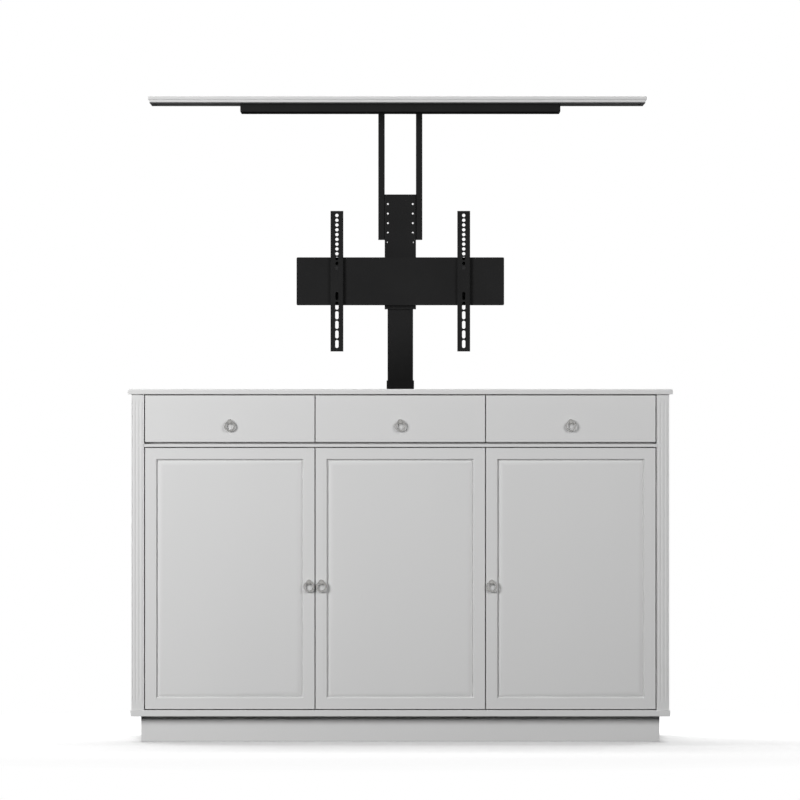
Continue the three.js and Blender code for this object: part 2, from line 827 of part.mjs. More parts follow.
// Lid: a lip that rests on the top panel, and a smaller board under it that fills the cut-out
function makeLid() {
  const half = lidWidth / 2;
  const lip = nosedBoard([-half, half], [0, lidDepth], [0, lidThickness], lidNoseRadius, lidNoseRadius / 2);
  const stepHalf = half - lidStepInset;
  const stepY = [lidStepInset, lidDepth - lidStepInset];
  const step = block([-stepHalf, stepHalf], stepY, [-lidStepThickness, lidThickness / 2]);
  return join([lip, step]);
}

function addCarcass() {
  add(part, 'plinth', makePlinth(), whitePaint);
  add(part, 'bottom_panel', makeBottomPanel(), whitePaint);
  add(part, 'top_panel', makeTopPanel(), whitePaint);
  for (const [name, side] of [['left', -1], ['right', 1]]) {
    add(part, `${name}_pilaster`, makePilaster(side), whitePaint);
    add(part, `${name}_side_panel`, makeSidePanel(side), whitePaint);
  }
  add(part, 'back_panel', makeBackPanel(), paleBoard);
  add(part, 'well_partition', makePartition(), paleBoard);
  add(part, 'drawer_deck', makeDeck(), whitePaint);
  dividerPlaces.forEach((place, index) => {
    const name = ['left', 'right'][index];
    add(part, `${name}_lower_divider`, makeDivider(place, carcassBottom, railBottom - seatGap), paleBoard);
    add(part, `${name}_upper_divider`, makeDivider(place, deckTop + seatGap, carcassTop), paleBoard);
  });
  bayNames.forEach((name, index) => {
    add(part, `${name}_shelf`, makeShelf(index), paleBoard);
  });
}

function addDrawers() {
  bayNames.forEach((name, index) => {
    const drawer = subGroup(part, bayCentres[index], frontY, drawerFrontBottom);
    add(drawer, `${name}_drawer_front`, makeDrawerFront(), whitePaint);
    add(drawer, `${name}_drawer_box`, makeDrawerBox(), paleBoard);
    addPull(drawer, `${name}_drawer`, 0, drawerFrontHeight / 2 - drawerPullDrop);
  });
}

function addDoors() {
  const hingeSides = [-1, 1, 1];
  const hingeHeights = [hingeEndDistance, doorHeight - hingeEndDistance];
  bayNames.forEach((name, index) => {
    const side = hingeSides[index];
    const door = subGroup(part, bayCentres[index], frontY, doorBottom);
    add(door, `${name}_door`, makeDoor(side, hingeHeights), whitePaint);
    addPull(door, `${name}_door`, -side * (frontWidth / 2 - doorPullInset), doorPullHeight);
    const cupPlace = frontWidth / 2 - cupEdgeMargin - cupRadius;
    const onStile = Math.sign(bayCentres[index]) === side;
    const toStile = openingHalf - Math.abs(bayCentres[index]);
    const mountPlace = onStile ? toStile : (bayPitch - panelThickness) / 2;
    const reach = mountPlace - seatGap - cupPlace;
    hingeHeights.forEach((height, order) => {
      const hinge = `${name}_door_${['lower', 'upper'][order]}_hinge`;
      add(door, hinge, makeHinge(side, reach), greyMetal, [side * cupPlace, frontThickness, height]);
    });
  });
}

function addLiftBase() {
  const base = subGroup(part, 0, columnDepthPlace, 0);
  add(base, 'column_foot', makeFoot(), blackMetal, [0, 0, carcassBottom]);
  const outer = squareTube(outerTubeWidth, outerTubeInner, outerTubeHeight, 0);
  add(base, 'outer_tube', outer, blackMetal, [0, 0, outerTubeBottom]);
  add(base, 'drive_spindle', makeSpindle(), greyMetal, [0, 0, outerTubeBottom]);
  const collarOuter = outerTubeWidth / 2 + seatGap + collarWall;
  const motorPlace = -(collarOuter + seatGap + gearboxWidth / 2);
  add(base, 'gear_motor', makeGearMotor(), blackPlastic, [motorPlace, 0, outerTubeBottom]);
  const boxPlace = footOffset - footWidth / 2 - controlBoxSpacing - controlBoxWidth / 2;
  add(base, 'control_box', makeControlBox(), blackPlastic, [boxPlace, 0, carcassBottom]);
}

function addLiftStages() {
  const column = subGroup(part, 0, columnDepthPlace, 0);
  const middle = squareTube(middleTubeWidth, middleTubeInner, middleTubeLength, 0);
  add(column, 'middle_tube', middle, blackMetal, [0, 0, middleTubeTop - middleTubeLength]);
  const innerHole = innerTubeWidth - 2 * innerTubeWall;
  const inner = squareTube(innerTubeWidth, innerHole, innerTubeLength, 0);
  add(column, 'inner_tube', inner, blackMetal, [0, 0, innerTubeTop - innerTubeLength]);
  add(column, 'column_head', makeHead(), blackMetal, [0, 0, headBottom]);
}

function addScreenMount() {
  add(part, 'mast_bracket', makeMastBracket(), blackMetal, [0, bracketFrontY, bracketTop - bracketHeight]);
  add(part, 'crossbar', makeCrossbar(), blackMetal, [0, crossbarFrontY, crossbarMiddle]);
  for (const [name, side] of [['left', -1], ['right', 1]]) {
    const armPlace = [side * armSpacing / 2, armFrontY, crossbarMiddle - armHeight / 2];
    add(part, `${name}_screen_arm`, makeArm(), blackMetal, armPlace);
    const across = bracketWidth / 2 + seatGap + lidArmWidth / 2;
    const along = bracketFrontY + lidArmSetback + lidArmDepth / 2;
    add(part, `${name}_lid_arm`, makeLidArm(), blackMetal, [side * across, along, lidArmBottom]);
  }
}

function addLid() {
  add(part, 'lid_tray', makeTray(), blackMetal, [0, lidFront + traySetback, trayBottom]);
  add(part, 'lid_panel', makeLid(), whitePaint, [lidOffset, lidFront, lipBottom]);
}

addCarcass();
addDrawers();
addDoors();
addLiftBase();
addLiftStages();
addScreenMount();
addLid();

export default part;
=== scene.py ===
import math

import bmesh
import bpy
from mathutils import Matrix, Vector


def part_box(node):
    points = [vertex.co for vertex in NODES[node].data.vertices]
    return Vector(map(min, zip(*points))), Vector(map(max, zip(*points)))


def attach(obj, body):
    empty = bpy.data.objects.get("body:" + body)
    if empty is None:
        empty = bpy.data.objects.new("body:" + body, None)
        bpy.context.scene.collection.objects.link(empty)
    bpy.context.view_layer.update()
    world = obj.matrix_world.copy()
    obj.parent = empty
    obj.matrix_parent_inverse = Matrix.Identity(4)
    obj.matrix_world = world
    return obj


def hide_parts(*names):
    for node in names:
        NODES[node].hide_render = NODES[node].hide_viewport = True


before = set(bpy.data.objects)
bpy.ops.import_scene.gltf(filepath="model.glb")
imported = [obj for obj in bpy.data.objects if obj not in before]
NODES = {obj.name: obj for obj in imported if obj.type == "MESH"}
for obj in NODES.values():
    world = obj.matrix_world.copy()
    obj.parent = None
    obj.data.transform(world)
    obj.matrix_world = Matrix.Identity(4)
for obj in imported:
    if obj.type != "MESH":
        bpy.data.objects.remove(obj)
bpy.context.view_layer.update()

# Metres throughout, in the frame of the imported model
MM = 0.001
BAYS = ("left", "middle", "right")
BOARD_ANGLE, PROFILE_ANGLE, SHEET_ANGLE, CASE_ANGLE, FITTING_ANGLE, RING_ANGLE = 24, 20, 30, 34, 40, 60
TO_BACK, TO_FRONT = (-90, "X"), (90, "X")  # turns that point a mesh's +Z along +Y or -Y


# Materials
def new_material(name):
    material = bpy.data.materials.new(name)
    material.use_nodes = True
    tree = material.node_tree
    return material, tree, tree.nodes["Principled BSDF"]


def node(tree, kind, **inputs):
    made = tree.nodes.new(kind)
    for key, value in inputs.items():
        made.inputs[key.replace("_", " ")].default_value = value
    return made


def noise(tree, place, scale, detail=2.0, stretch=(1, 1, 1), rough=0.5):
    mapping = node(tree, "ShaderNodeMapping", Scale=stretch)
    tree.links.new(place, mapping.inputs["Vector"])
    made = node(tree, "ShaderNodeTexNoise", Scale=scale, Detail=detail, Roughness=rough)
    tree.links.new(mapping.outputs[0], made.inputs["Vector"])
    return made.outputs["Fac"]


def spread(tree, value, low, high, out_low, out_high):
    made = node(tree, "ShaderNodeMapRange")
    made.inputs["From Min"].default_value = low
    made.inputs["From Max"].default_value = high
    made.inputs["To Min"].default_value = out_low
    made.inputs["To Max"].default_value = out_high
    tree.links.new(value, made.inputs["Value"])
    return made.outputs[0]


def blend_colours(tree, value, first, second):
    mix = tree.nodes.new("ShaderNodeMix")
    mix.data_type = "RGBA"
    tree.links.new(value, mix.inputs[0])
    for socket, colour in ((mix.inputs[6], first), (mix.inputs[7], second)):
        if isinstance(colour, bpy.types.NodeSocket):
            tree.links.new(colour, socket)
        else:
            socket.default_value = (*colour, 1)
    return mix.outputs[2]


def bump(tree, value, strength, distance, after=None):
    made = node(tree, "ShaderNodeBump", Strength=strength, Distance=distance)
    tree.links.new(value, made.inputs["Height"])
    if after:
        tree.links.new(after, made.inputs["Normal"])
    return made.outputs[0]


def times(tree, first, second):
    made = tree.nodes.new("ShaderNodeMath")
    made.operation = "MULTIPLY"
    tree.links.new(first, made.inputs[0])
    tree.links.new(second, made.inputs[1])
    return made.outputs[0]


def edge_mask(tree, radius):
    """1 beside a sharp edge and 0 on a flat, from how far a rounded normal turns"""
    bevel = node(tree, "ShaderNodeBevel", Radius=radius)
    bevel.samples = 4
    geometry = tree.nodes.new("ShaderNodeNewGeometry")
    dot = tree.nodes.new("ShaderNodeVectorMath")
    dot.operation = "DOT_PRODUCT"
    tree.links.new(bevel.outputs[0], dot.inputs[0])
    tree.links.new(geometry.outputs["Normal"], dot.inputs[1])
    return spread(tree, dot.outputs["Value"], 0.96, 0.7, 0, 1)


def place_of(tree):
    return tree.nodes.new("ShaderNodeTexCoord").outputs["Object"]


def paint(name, light, dark, worn, roller=(1, 1, 1), roughness=0.46):
    """Sprayed and rolled paint: slow tone drift, orange peel, and edges rubbed a little paler"""
    material, tree, shader = new_material(name)
    place = place_of(tree)
    drift = noise(tree, place, 3.0, 3, roller)
    mottle = noise(tree, place, 160, 3, roller)
    tone = blend_colours(tree, spread(tree, drift, 0.3, 0.7, 0, 1), dark, light)
    tone = blend_colours(tree, spread(tree, mottle, 0.35, 0.75, 0, 0.2), tone, dark)
    rub = spread(tree, noise(tree, place, 45, 4), 0.5, 0.68, 0, 0.5)
    tone = blend_colours(tree, times(tree, edge_mask(tree, 0.9 * MM), rub), tone, worn)
    tree.links.new(tone, shader.inputs["Base Color"])
    shader.inputs["Specular IOR Level"].default_value = 0.12
    gloss = spread(tree, mottle, 0.3, 0.7, roughness - 0.04, roughness + 0.06)
    tree.links.new(gloss, shader.inputs["Roughness"])
    peel = noise(tree, place, 620, 2, roller)
    wave = noise(tree, place, 38, 2, roller)
    normal = bump(tree, wave, 0.03, 0.2 * MM)
    normal = bump(tree, peel, 0.06, 0.06 * MM, normal)
    tree.links.new(normal, shader.inputs["Normal"])
    return material


def powder(name, colour, pale, specular=0.03, rough=0.85, shade_below=None):
    """Black powder coat: fine grain, a little dust in it, pale rubbed corners, and, where a band
    of heights is given, painted shade that makes it darker towards the bottom"""
    material, tree, shader = new_material(name)
    place = place_of(tree)
    cloud = noise(tree, place, 9, 4)
    tone = blend_colours(tree, spread(tree, cloud, 0.35, 0.7, 0, 1), colour, pale)
    rub = spread(tree, noise(tree, place, 90, 3), 0.5, 0.66, 0, 0.4)
    worn = [1.5 * c for c in pale]
    tone = blend_colours(tree, times(tree, edge_mask(tree, 0.6 * MM), rub), tone, worn)
    # Painted shade: below the given band of heights the tone is darkened to about half, broken by faint upright
    # streaks
    if shade_below:
        split = tree.nodes.new("ShaderNodeSeparateXYZ")
        tree.links.new(place, split.inputs[0])
        shade_streak = noise(tree, place, 30, 3, (1, 1, 0.1))
        low = spread(tree, split.outputs["Z"], shade_below[0], shade_below[1], 1, 0)
        low = times(tree, low, spread(tree, shade_streak, 0.25, 0.75, 0.85, 1))
        tone = blend_colours(tree, low, tone, [0.48 * c for c in colour])
    tree.links.new(tone, shader.inputs["Base Color"])
    shader.inputs["Specular IOR Level"].default_value = specular
    grain = noise(tree, place, 1500, 2)
    tree.links.new(spread(tree, grain, 0.3, 0.7, rough - 0.06, rough + 0.08), shader.inputs["Roughness"])
    normal = bump(tree, grain, 0.18, 0.08 * MM)
    tree.links.new(normal, shader.inputs["Normal"])
    return material


def metal(name, colour, shade, roughness, stretch=(1, 1, 1), grain_scale=700):
    """Plated or brushed metal with fine lines and a faint cloud in its gloss"""
    material, tree, shader = new_material(name)
    shader.inputs["Metallic"].default_value = 1
    place = place_of(tree)
    cloud = noise(tree, place, 120, 3)
    tone = blend_colours(tree, spread(tree, cloud, 0.35, 0.7, 0, 1), colour, shade)
    tree.links.new(tone, shader.inputs["Base Color"])
    lines = noise(tree, place, grain_scale, 3, stretch)
    gloss = spread(tree, lines, 0.3, 0.7, roughness - 0.06, roughness + 0.09)
    tree.links.new(gloss, shader.inputs["Roughness"])
    normal = bump(tree, lines, 0.10, 0.04 * MM)
    tree.links.new(normal, shader.inputs["Normal"])
    return material


def melamine(name, light, dark, stretch):
    """Pale faced board with a faint drawn-out grain and fine pores"""
    material, tree, shader = new_material(name)
    place = place_of(tree)
    figure = noise(tree, place, 14, 5, stretch, 0.62)
    pores = noise(tree, place, 210, 3, stretch, 0.7)
    tone = blend_colours(tree, spread(tree, figure, 0.35, 0.66, 0, 1), light, dark)
    darker = [0.86 * c for c in dark]
    tone = blend_colours(tree, spread(tree, pores, 0.55, 0.72, 0, 0.6), tone, darker)
    tree.links.new(tone, shader.inputs["Base Color"])
    tree.links.new(spread(tree, pores, 0.3, 0.7, 0.5, 0.62), shader.inputs["Roughness"])
    tree.links.new(bump(tree, pores, 0.2, 0.08 * MM), shader.inputs["Normal"])
    return material


def plastic(name, colour, shade, roughness=0.5):
    """Moulded plastic with a fine spark texture"""
    material, tree, shader = new_material(name)
    place = place_of(tree)
    cloud = noise(tree, place, 30, 3)
    tone = blend_colours(tree, spread(tree, cloud, 0.35, 0.7, 0, 1), colour, shade)
    tree.links.new(tone, shader.inputs["Base Color"])
    shader.inputs["Specular IOR Level"].default_value = 0.3
    grain = noise(tree, place, 1100, 2)
    gloss = spread(tree, grain, 0.3, 0.7, roughness - 0.06, roughness + 0.08)
    tree.links.new(gloss, shader.inputs["Roughness"])
    tree.links.new(bump(tree, grain, 0.3, 0.08 * MM), shader.inputs["Normal"])
    return material


PAINT_TONES = (0.722, 0.722, 0.720), (0.708, 0.708, 0.707), (0.745, 0.745, 0.741)
paint_level = paint("paint_level", *PAINT_TONES, (0.35, 1, 1))
paint_upright = paint("paint_upright", *PAINT_TONES, (1, 1, 0.35))
BOARD_TONES = (0.70, 0.68, 0.64), (0.63, 0.605, 0.56)
board_level = melamine("board_level", *BOARD_TONES, (0.05, 1, 1))
board_upright = melamine("board_upright", *BOARD_TONES, (1, 1, 0.05))
black_coat = powder("black_coat", (0.0200, 0.0200, 0.0202), (0.0223, 0.0223, 0.0225), 0.0)
# Inner tube: coat with painted shade, darker towards the bottom of the tube near the cabinet top
tube_coat_painted_shade = powder("tube_coat_painted_shade", (0.0192, 0.0192, 0.0194), (0.0205, 0.0205, 0.0207),
                      shade_below=(1.11, 1.30))
# Middle tube: the black coat at about half its tone, painted shade low on the column
guide_coat_painted_shade = powder("guide_coat_painted_shade", (0.0100, 0.0100, 0.0102), (0.0108, 0.0108, 0.0110))
black_steel = powder("black_steel", (0.012, 0.012, 0.0123), (0.015, 0.015, 0.0153), 0.25, 0.5)
nickel = metal("satin_nickel", (0.40, 0.396, 0.385), (0.34, 0.336, 0.325), 0.24, (1, 1, 1), 900)
zinc = metal("zinc_plate", (0.62, 0.62, 0.63), (0.54, 0.545, 0.56), 0.33, (1, 1, 0.1), 500)
steel_screw = metal("screw_steel", (0.50, 0.50, 0.51), (0.42, 0.42, 0.43), 0.30)
black_moulding = plastic("black_plastic", (0.016, 0.016, 0.017), (0.021, 0.021, 0.022))
# Dark grey for the sheet under the lid: painted shade on the lid's underside
lid_shade_paint = powder("lid_shade_sheet", (0.165, 0.165, 0.166), (0.19, 0.19, 0.191), 0.0)


# Mesh helpers
def corner_points(x, y, z, radius=0.0, steps=4):
    """Points round a rectangle with round corners, counterclockwise seen from +Z"""
    radius = max(radius, 1e-6)
    points = []
    corners = ((x[1], y[0], -1, 1, -90), (x[1], y[1], -1, -1, 0),
               (x[0], y[1], 1, -1, 90), (x[0], y[0], 1, 1, 180))
    for cx, cy, sx, sy, start in corners:
        for k in range(steps + 1):
            a = math.radians(start + 90 * k / steps)
            points.append((cx + sx * radius + radius * math.cos(a),
                           cy + sy * radius + radius * math.sin(a), z))
    return points


def inset_ring(x, y, inset, z, radius=0.0, steps=4):
    """corner_points of a rectangle drawn in by inset on all four sides"""
    return corner_points((x[0] + inset, x[1] - inset), (y[0] + inset, y[1] - inset), z, radius, steps)


def circle_points(radius, z, count):
    turn = 2 * math.pi / count
    return [(radius * math.cos(k * turn), radius * math.sin(k * turn), z) for k in range(count)]


def loft(rings, closed=False):
    """Mesh through rings of as many points each, capped at both ends unless it closes on itself"""
    count = len(rings[0])
    points = [p for ring in rings for p in ring]
    faces = []
    for level in range(len(rings) if closed else len(rings) - 1):
        a, b = level * count, (level + 1) % len(rings) * count
        for k in range(count):
            n = (k + 1) % count
            faces.append((a + k, a + n, b + n, b + k))
    if not closed:
        faces.append(tuple(reversed(range(count))))
        faces.append(tuple(range((len(rings) - 1) * count, len(rings) * count)))
    mesh = bpy.data.meshes.new("mesh")
    mesh.from_pydata(points, [], faces)
    mesh.update()
    return mesh


def joined(meshes):
    made = bmesh.new()
    for mesh in meshes:
        made.from_mesh(mesh)
        bpy.data.meshes.remove(mesh)
    mesh = bpy.data.meshes.new("mesh")
    made.to_mesh(mesh)
    made.free()
    return mesh


def cleaned(mesh):
    made = bmesh.new()
    made.from_mesh(mesh)
    bmesh.ops.remove_doubles(made, verts=made.verts, dist=2e-6)
    bmesh.ops.dissolve_degenerate(made, edges=made.edges, dist=1e-6)
    bmesh.ops.recalc_face_normals(made, faces=made.faces)
    made.to_mesh(mesh)
    made.free()
    return mesh


def less(mesh, cutters):
    """mesh with each cutter mesh taken out of it"""
    base = bpy.data.objects.new("base", cleaned(mesh))
    bpy.context.scene.collection.objects.link(base)
    tool = bpy.data.objects.new("tool", cleaned(joined(cutters)))
    bpy.context.scene.collection.objects.link(tool)
    change = base.modifiers.new("cut", "BOOLEAN")
    change.operation = "DIFFERENCE"
    change.solver = "EXACT"
    change.use_self = True
    change.object = tool
    result = bpy.data.meshes.new_from_object(base.evaluated_get(bpy.context.evaluated_depsgraph_get()))
    bpy.data.objects.remove(base)
    bpy.data.objects.remove(tool)
    bpy.data.meshes.remove(mesh)
    return cleaned(result)


def moved(mesh, place=(0, 0, 0), turn=None):
    if turn:
        mesh.transform(Matrix.Rotation(math.radians(turn[0]), 4, turn[1]))
    mesh.transform(Matrix.Translation(place))
    return mesh


def level_flats(made):
    """Keeps flat faces flat in shading beside small rounds"""
    flats = made.modifiers.new("flats", "WEIGHTED_NORMAL")
    flats.keep_sharp = True


def ease_edges(made, width, segments=2):
    """Small rounds on the sharp edges of a piece"""
    ease = made.modifiers.new("ease", "BEVEL")
    ease.width = width
    ease.segments = segments
    ease.limit_method = "ANGLE"
    ease.angle_limit = math.radians(38)
    level_flats(made)


def piece(name, mesh, material, body, stands_for=(), angle=32, ease=0.0):
    cleaned(mesh)
    mesh.name = name
    mesh.materials.clear()
    mesh.materials.append(material)
    for face in mesh.polygons:
        face.use_smooth = True
        face.material_index = 0
    mesh.set_sharp_from_angle(angle=math.radians(angle))
    made = bpy.data.objects.new(name, mesh)
    bpy.context.scene.collection.objects.link(made)
    if ease:
        ease_edges(made, ease)
    else:
        level_flats(made)
    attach(made, body)
    if stands_for:
        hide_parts(*stands_for)
    return made


def arc(radius, steps=4):
    """Insets and drops of a round corner, from the flat face to the side"""
    if radius <= 0:
        return [(0.0, 0.0)]
    made = []
    for k in range(steps + 1):
        a = math.radians(90 * k / steps)
        made.append((radius * (1 - math.sin(a)), radius * (1 - math.cos(a))))
    return made


def rounded_block(x, y, z, top, bottom=None, corner=None, steps=4):
    """Block with a round of its own along its upper and lower edges and its upright corners"""
    bottom = top if bottom is None else bottom
    corner = max(top, bottom) if corner is None else corner
    rings = []
    for inset, drop in arc(bottom, steps):
        rings.append((inset, z[0] + drop))
    for inset, drop in reversed(arc(top, steps)):
        rings.append((inset, z[1] - drop))
    return loft([inset_ring(x, y, inset, level, corner - inset, steps) for inset, level in rings])


def turned_profile(points, count=48):
    """Round body about Z through (radius, z) points"""
    return loft([circle_points(max(r, 1e-6), z, count) for r, z in points])


def channel(width, depth, wall, bend, z, steps=4):
    """Bent sheet channel standing on z: its face at y = 0, its flanges running to +Y"""
    half = width / 2
    points = [(-half, depth)]
    for sign, start in ((-1, 180), (1, 270)):
        for k in range(steps + 1):
            a = math.radians(start + 90 * k / steps)
            points.append((sign * (half - bend) + bend * math.cos(a), bend + bend * math.sin(a)))
    points += [(half, depth), (half - wall, depth), (half - wall, wall),
               (-half + wall, wall), (-half + wall, depth)]
    return loft([[(px, py, level) for px, py in points] for level in z])


def cross_hole(radius, x, z, depth, slot_half=0.0):
    """Cutter along Y for a round hole, or for an upright slot with round ends"""
    if slot_half:
        turns = [math.pi * k / 16 for k in range(17)]
        ring = [(x + radius * math.cos(a), z + slot_half + radius * math.sin(a)) for a in turns]
        ring += [(x - radius * math.cos(a), z - slot_half - radius * math.sin(a)) for a in turns]
    else:
        turns = [2 * math.pi * k / 32 for k in range(32)]
        ring = [(x + radius * math.cos(a), z + radius * math.sin(a)) for a in turns]
    return loft([[(px, level, pz) for px, pz in ring] for level in depth])


def screw_head(radius, height):
    """Pan head facing +Z, its seat at zero, with a cross recess"""
    body = turned_profile([(radius * 0.55, -height * 0.2), (radius, 0), (radius, height * 0.3),
                           (radius * 0.88, height * 0.75), (radius * 0.6, height), (0, height)], 24)
    arm, wide, low = radius * 0.62, radius * 0.13, height * 0.3
    slots = [rounded_block((-arm, arm), (-wide, wide), (low, height + 1 * MM), 0, 0, 0.02 * MM, 1),
             rounded_block((-wide, wide), (-arm, arm), (low, height + 1 * MM), 0, 0, 0.02 * MM, 1)]
    return less(body, slots)


def hex_bolt(radius, height):
    """Hexagon head facing +Z with a washer under it"""
    low = height * 0.26
    rim = radius * 1.4
    washer = turned_profile([(0, 0), (rim, 0), (rim, low * 0.7), (radius * 1.3, low), (0, low)], 32)
    head = loft([circle_points(radius, low * 0.8, 6), circle_points(radius, height * 0.88, 6),
                 circle_points(radius * 0.86, height, 6)])
    return joined([washer, head])


def spans(name):
    low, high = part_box(name)
    return (low.x, high.x), (low.y, high.y), (low.z, high.z)


def middle_of(span):
    return (span[0] + span[1]) / 2


def soften(name, width, material, segments=2):
    """Keeps a CAD node, with its edges eased and its own material"""
    made = NODES[name]
    weld = made.modifiers.new("weld", "WELD")
    weld.merge_threshold = 1e-6
    ease_edges(made, width, segments)
    made.data.materials.clear()
    made.data.materials.append(material)
    for face in made.data.polygons:
        face.use_smooth = True


# Carcass
def top_board():
    x, y, z = spans("top_panel")
    lid_x, lid_y, _ = spans("lid_panel")
    edge = 3.5 * MM
    hole_x, hole_y = (lid_x[0] + edge, lid_x[1] - edge), (lid_y[0] + edge, lid_y[1] - edge)
    rings = []
    for inset, drop in arc(1.5 * MM, 3):
        rings.append(inset_ring(x, y, inset, z[0] + drop, 4 * MM - inset))
    for inset, drop in reversed(arc(5.5 * MM, 6)):
        rings.append(inset_ring(x, y, inset, z[1] - drop, max(4 * MM - inset, 0.3 * MM)))
    ease = 0.6 * MM
    wide_x, wide_y = (hole_x[0] - ease, hole_x[1] + ease), (hole_y[0] - ease, hole_y[1] + ease)
    rings.append(corner_points(wide_x, wide_y, z[1], 3 * MM))
    rings.append(corner_points(hole_x, hole_y, z[1] - ease, 2.5 * MM))
    rings.append(corner_points(hole_x, hole_y, z[0] + ease, 2.5 * MM))
    rings.append(corner_points(wide_x, wide_y, z[0], 3 * MM))
    return loft(rings, closed=True)


piece("top_board", top_board(), paint_level, "cabinet", ["top_panel"], BOARD_ANGLE)
bx, by, bz = spans("bottom_panel")
moulding = rounded_block(bx, by, bz, 2 * MM, 1 * MM, 3.2 * MM, 5)
piece("base_moulding", moulding, paint_level, "cabinet", ["bottom_panel"], BOARD_ANGLE)


def deck_board():
    """Board under the drawers: its front edge is the rail, with a deep rebate above it"""
    x, y, z = spans("drawer_deck")
    rail_top, rebate, ease = z[1] - 5.9 * MM, y[0] + 30 * MM, 0.35 * MM
    outline = [(y[0] + ease, z[0]), (y[0], z[0] + ease), (y[0], rail_top - ease), (y[0] + ease, rail_top),
               (rebate, rail_top), (rebate, z[1]), (y[1], z[1]), (y[1], z[0])]
    return loft([[(across, py, pz) for py, pz in outline] for across in x])


piece("drawer_rail_deck", deck_board(), paint_level, "cabinet", ["drawer_deck"], BOARD_ANGLE)

REEDS, REED_PITCH, REED_DEPTH, REED_SHOULDER = 3, 10.8 * MM, 1.3 * MM, 1.2 * MM
REED_RUN_OUT, REED_BOTTOM, REED_TOP = 25 * MM, 11 * MM, 6.5 * MM
PILASTER_THICKNESS = 22 * MM


def reed_depth(across):
    """How far the reeded face lies behind the flat one, at a place from the middle of the post"""
    half = REED_PITCH / 2
    radius = (half ** 2 + REED_DEPTH ** 2) / (2 * REED_DEPTH)
    edge = REEDS * half
    if abs(across) >= edge:
        return max(0.0, REED_DEPTH * (1 - (abs(across) - edge) / REED_SHOULDER))
    from_crest = abs((across + edge) % REED_PITCH - half)
    return radius - math.sqrt(radius ** 2 - from_crest ** 2)


def reeded_ring(x, y, z, lift, inset):
    """Section of the post at one height: lift is how far the reeds' cutter has left the face"""
    x, y = (x[0] + inset, x[1] - inset), (y[0] + inset, y[1])
    radius, points = 1.2 * MM, []
    centre, edge = middle_of(x), REEDS * REED_PITCH / 2
    steps = 14 * REEDS
    reeds = (-edge + 2 * edge * k / steps for k in range(steps + 1))
    places = [-edge - REED_SHOULDER, *reeds, edge + REED_SHOULDER]

    def corner(cx, cy, start):
        for k in range(5):
            a = math.radians(start + 22.5 * k)
            points.append((cx + radius * math.cos(a), cy + radius * math.sin(a), z))

    corner(x[0] + radius, y[0] + radius, 180)
    for across in places:
        points.append((centre + across, y[0] + max(0.0, reed_depth(across) - lift), z))
    corner(x[1] - radius, y[0] + radius, 270)
    corner(x[1] - radius, y[1] - radius, 0)
    corner(x[0] + radius, y[1] - radius, 90)
    return points


for side, name in ((-1, "left"), (1, "right")):
    px, py, pz = spans(f"{name}_pilaster")
    outer, inner = (px[0], px[1]) if side < 0 else (px[1], px[0])
    y = (py[0], py[0] + PILASTER_THICKNESS)
    levels = [(pz[0] + drop, REED_DEPTH, inset) for inset, drop in arc(0.4 * MM, 3)]
    low, high = pz[0] + REED_BOTTOM, pz[1] - REED_TOP
    levels += [(low + REED_RUN_OUT * k / 12, REED_DEPTH * (1 - k / 12), 0) for k in range(13)]
    levels += [(high - REED_RUN_OUT * k / 12, REED_DEPTH * (1 - k / 12), 0) for k in range(12, -1, -1)]
    levels += [(pz[1] - drop, REED_DEPTH, inset) for inset, drop in reversed(arc(0.4 * MM, 3))]
    face = loft([reeded_ring(px, y, z, lift, inset) for z, lift, inset in levels])
    stile_outer = outer - side * 18.6 * MM
    stile_x = (min(stile_outer, inner), max(stile_outer, inner))
    stile = rounded_block(stile_x, (y[1] - 0.5 * MM, py[1]), pz, 0.5 * MM, 0.5 * MM, 0.8 * MM, 2)
    post = joined([face, stile])
    piece(f"{name}_reeded_post", post, paint_upright, "cabinet",
          [f"{name}_pilaster"], PROFILE_ANGLE)
    soften(f"{name}_side_panel", 1.0 * MM, paint_upright)

PIN_DROP, SCREW_EDGE, SCREW_ROW = 3.8 * MM, 12 * MM, 10 * MM

soften("plinth", 1.0 * MM, paint_level)
soften("back_panel", 0.4 * MM, board_upright)
soften("well_partition", 0.4 * MM, board_upright)
for name in ("left", "right"):
    soften(f"{name}_lower_divider", 0.6 * MM, board_upright)
    soften(f"{name}_upper_divider", 0.6 * MM, board_upright)
for bay in BAYS:
    soften(f"{bay}_shelf", 0.7 * MM, board_level)
    soften(f"{bay}_drawer_box", 0.7 * MM, board_level)
    sx, sy, sz = spans(f"{bay}_shelf")
    pins = []
    for x, turn in ((sx[0], 90), (sx[1], -90)):
        for y in (sy[0] + 35 * MM, sy[1] - 40 * MM):
            rows = [(0, 0), (3.6, 0), (3.6, 1.2), (2.5, 1.4), (2.5, 7.2), (2.0, 7.8), (0, 7.8)]
            pin = turned_profile([(r * MM, z * MM) for r, z in rows], 24)
            pins.append(moved(pin, (x, y, sz[0] - PIN_DROP), (turn, "Y")))
    piece(f"{bay}_shelf_pins", joined(pins), steel_screw, "cabinet")

hx, hy, hz = spans("back_panel")
fixing = []
for k in range(10):
    x = hx[0] + SCREW_EDGE + (hx[1] - hx[0] - 2 * SCREW_EDGE) * k / 9
    fixing += [(x, hz[0] + SCREW_ROW), (x, hz[1] - SCREW_ROW)]
for k in range(1, 6):
    z = hz[0] + (hz[1] - hz[0]) * k / 6
    fixing += [(hx[0] + SCREW_EDGE, z), (hx[1] - SCREW_EDGE, z)]
heads = []
for x, z in fixing:
    heads.append(moved(screw_head(3.4 * MM, 0.28 * MM), (x, hy[1], z), TO_BACK))
piece("back_panel_screws", joined(heads), steel_screw, "cabinet")


# Doors and drawer fronts stand in local sizes: x across, y up, z out towards the viewer
def stood(mesh, x, y, z):
    return moved(mesh, (x, y, z), TO_FRONT)


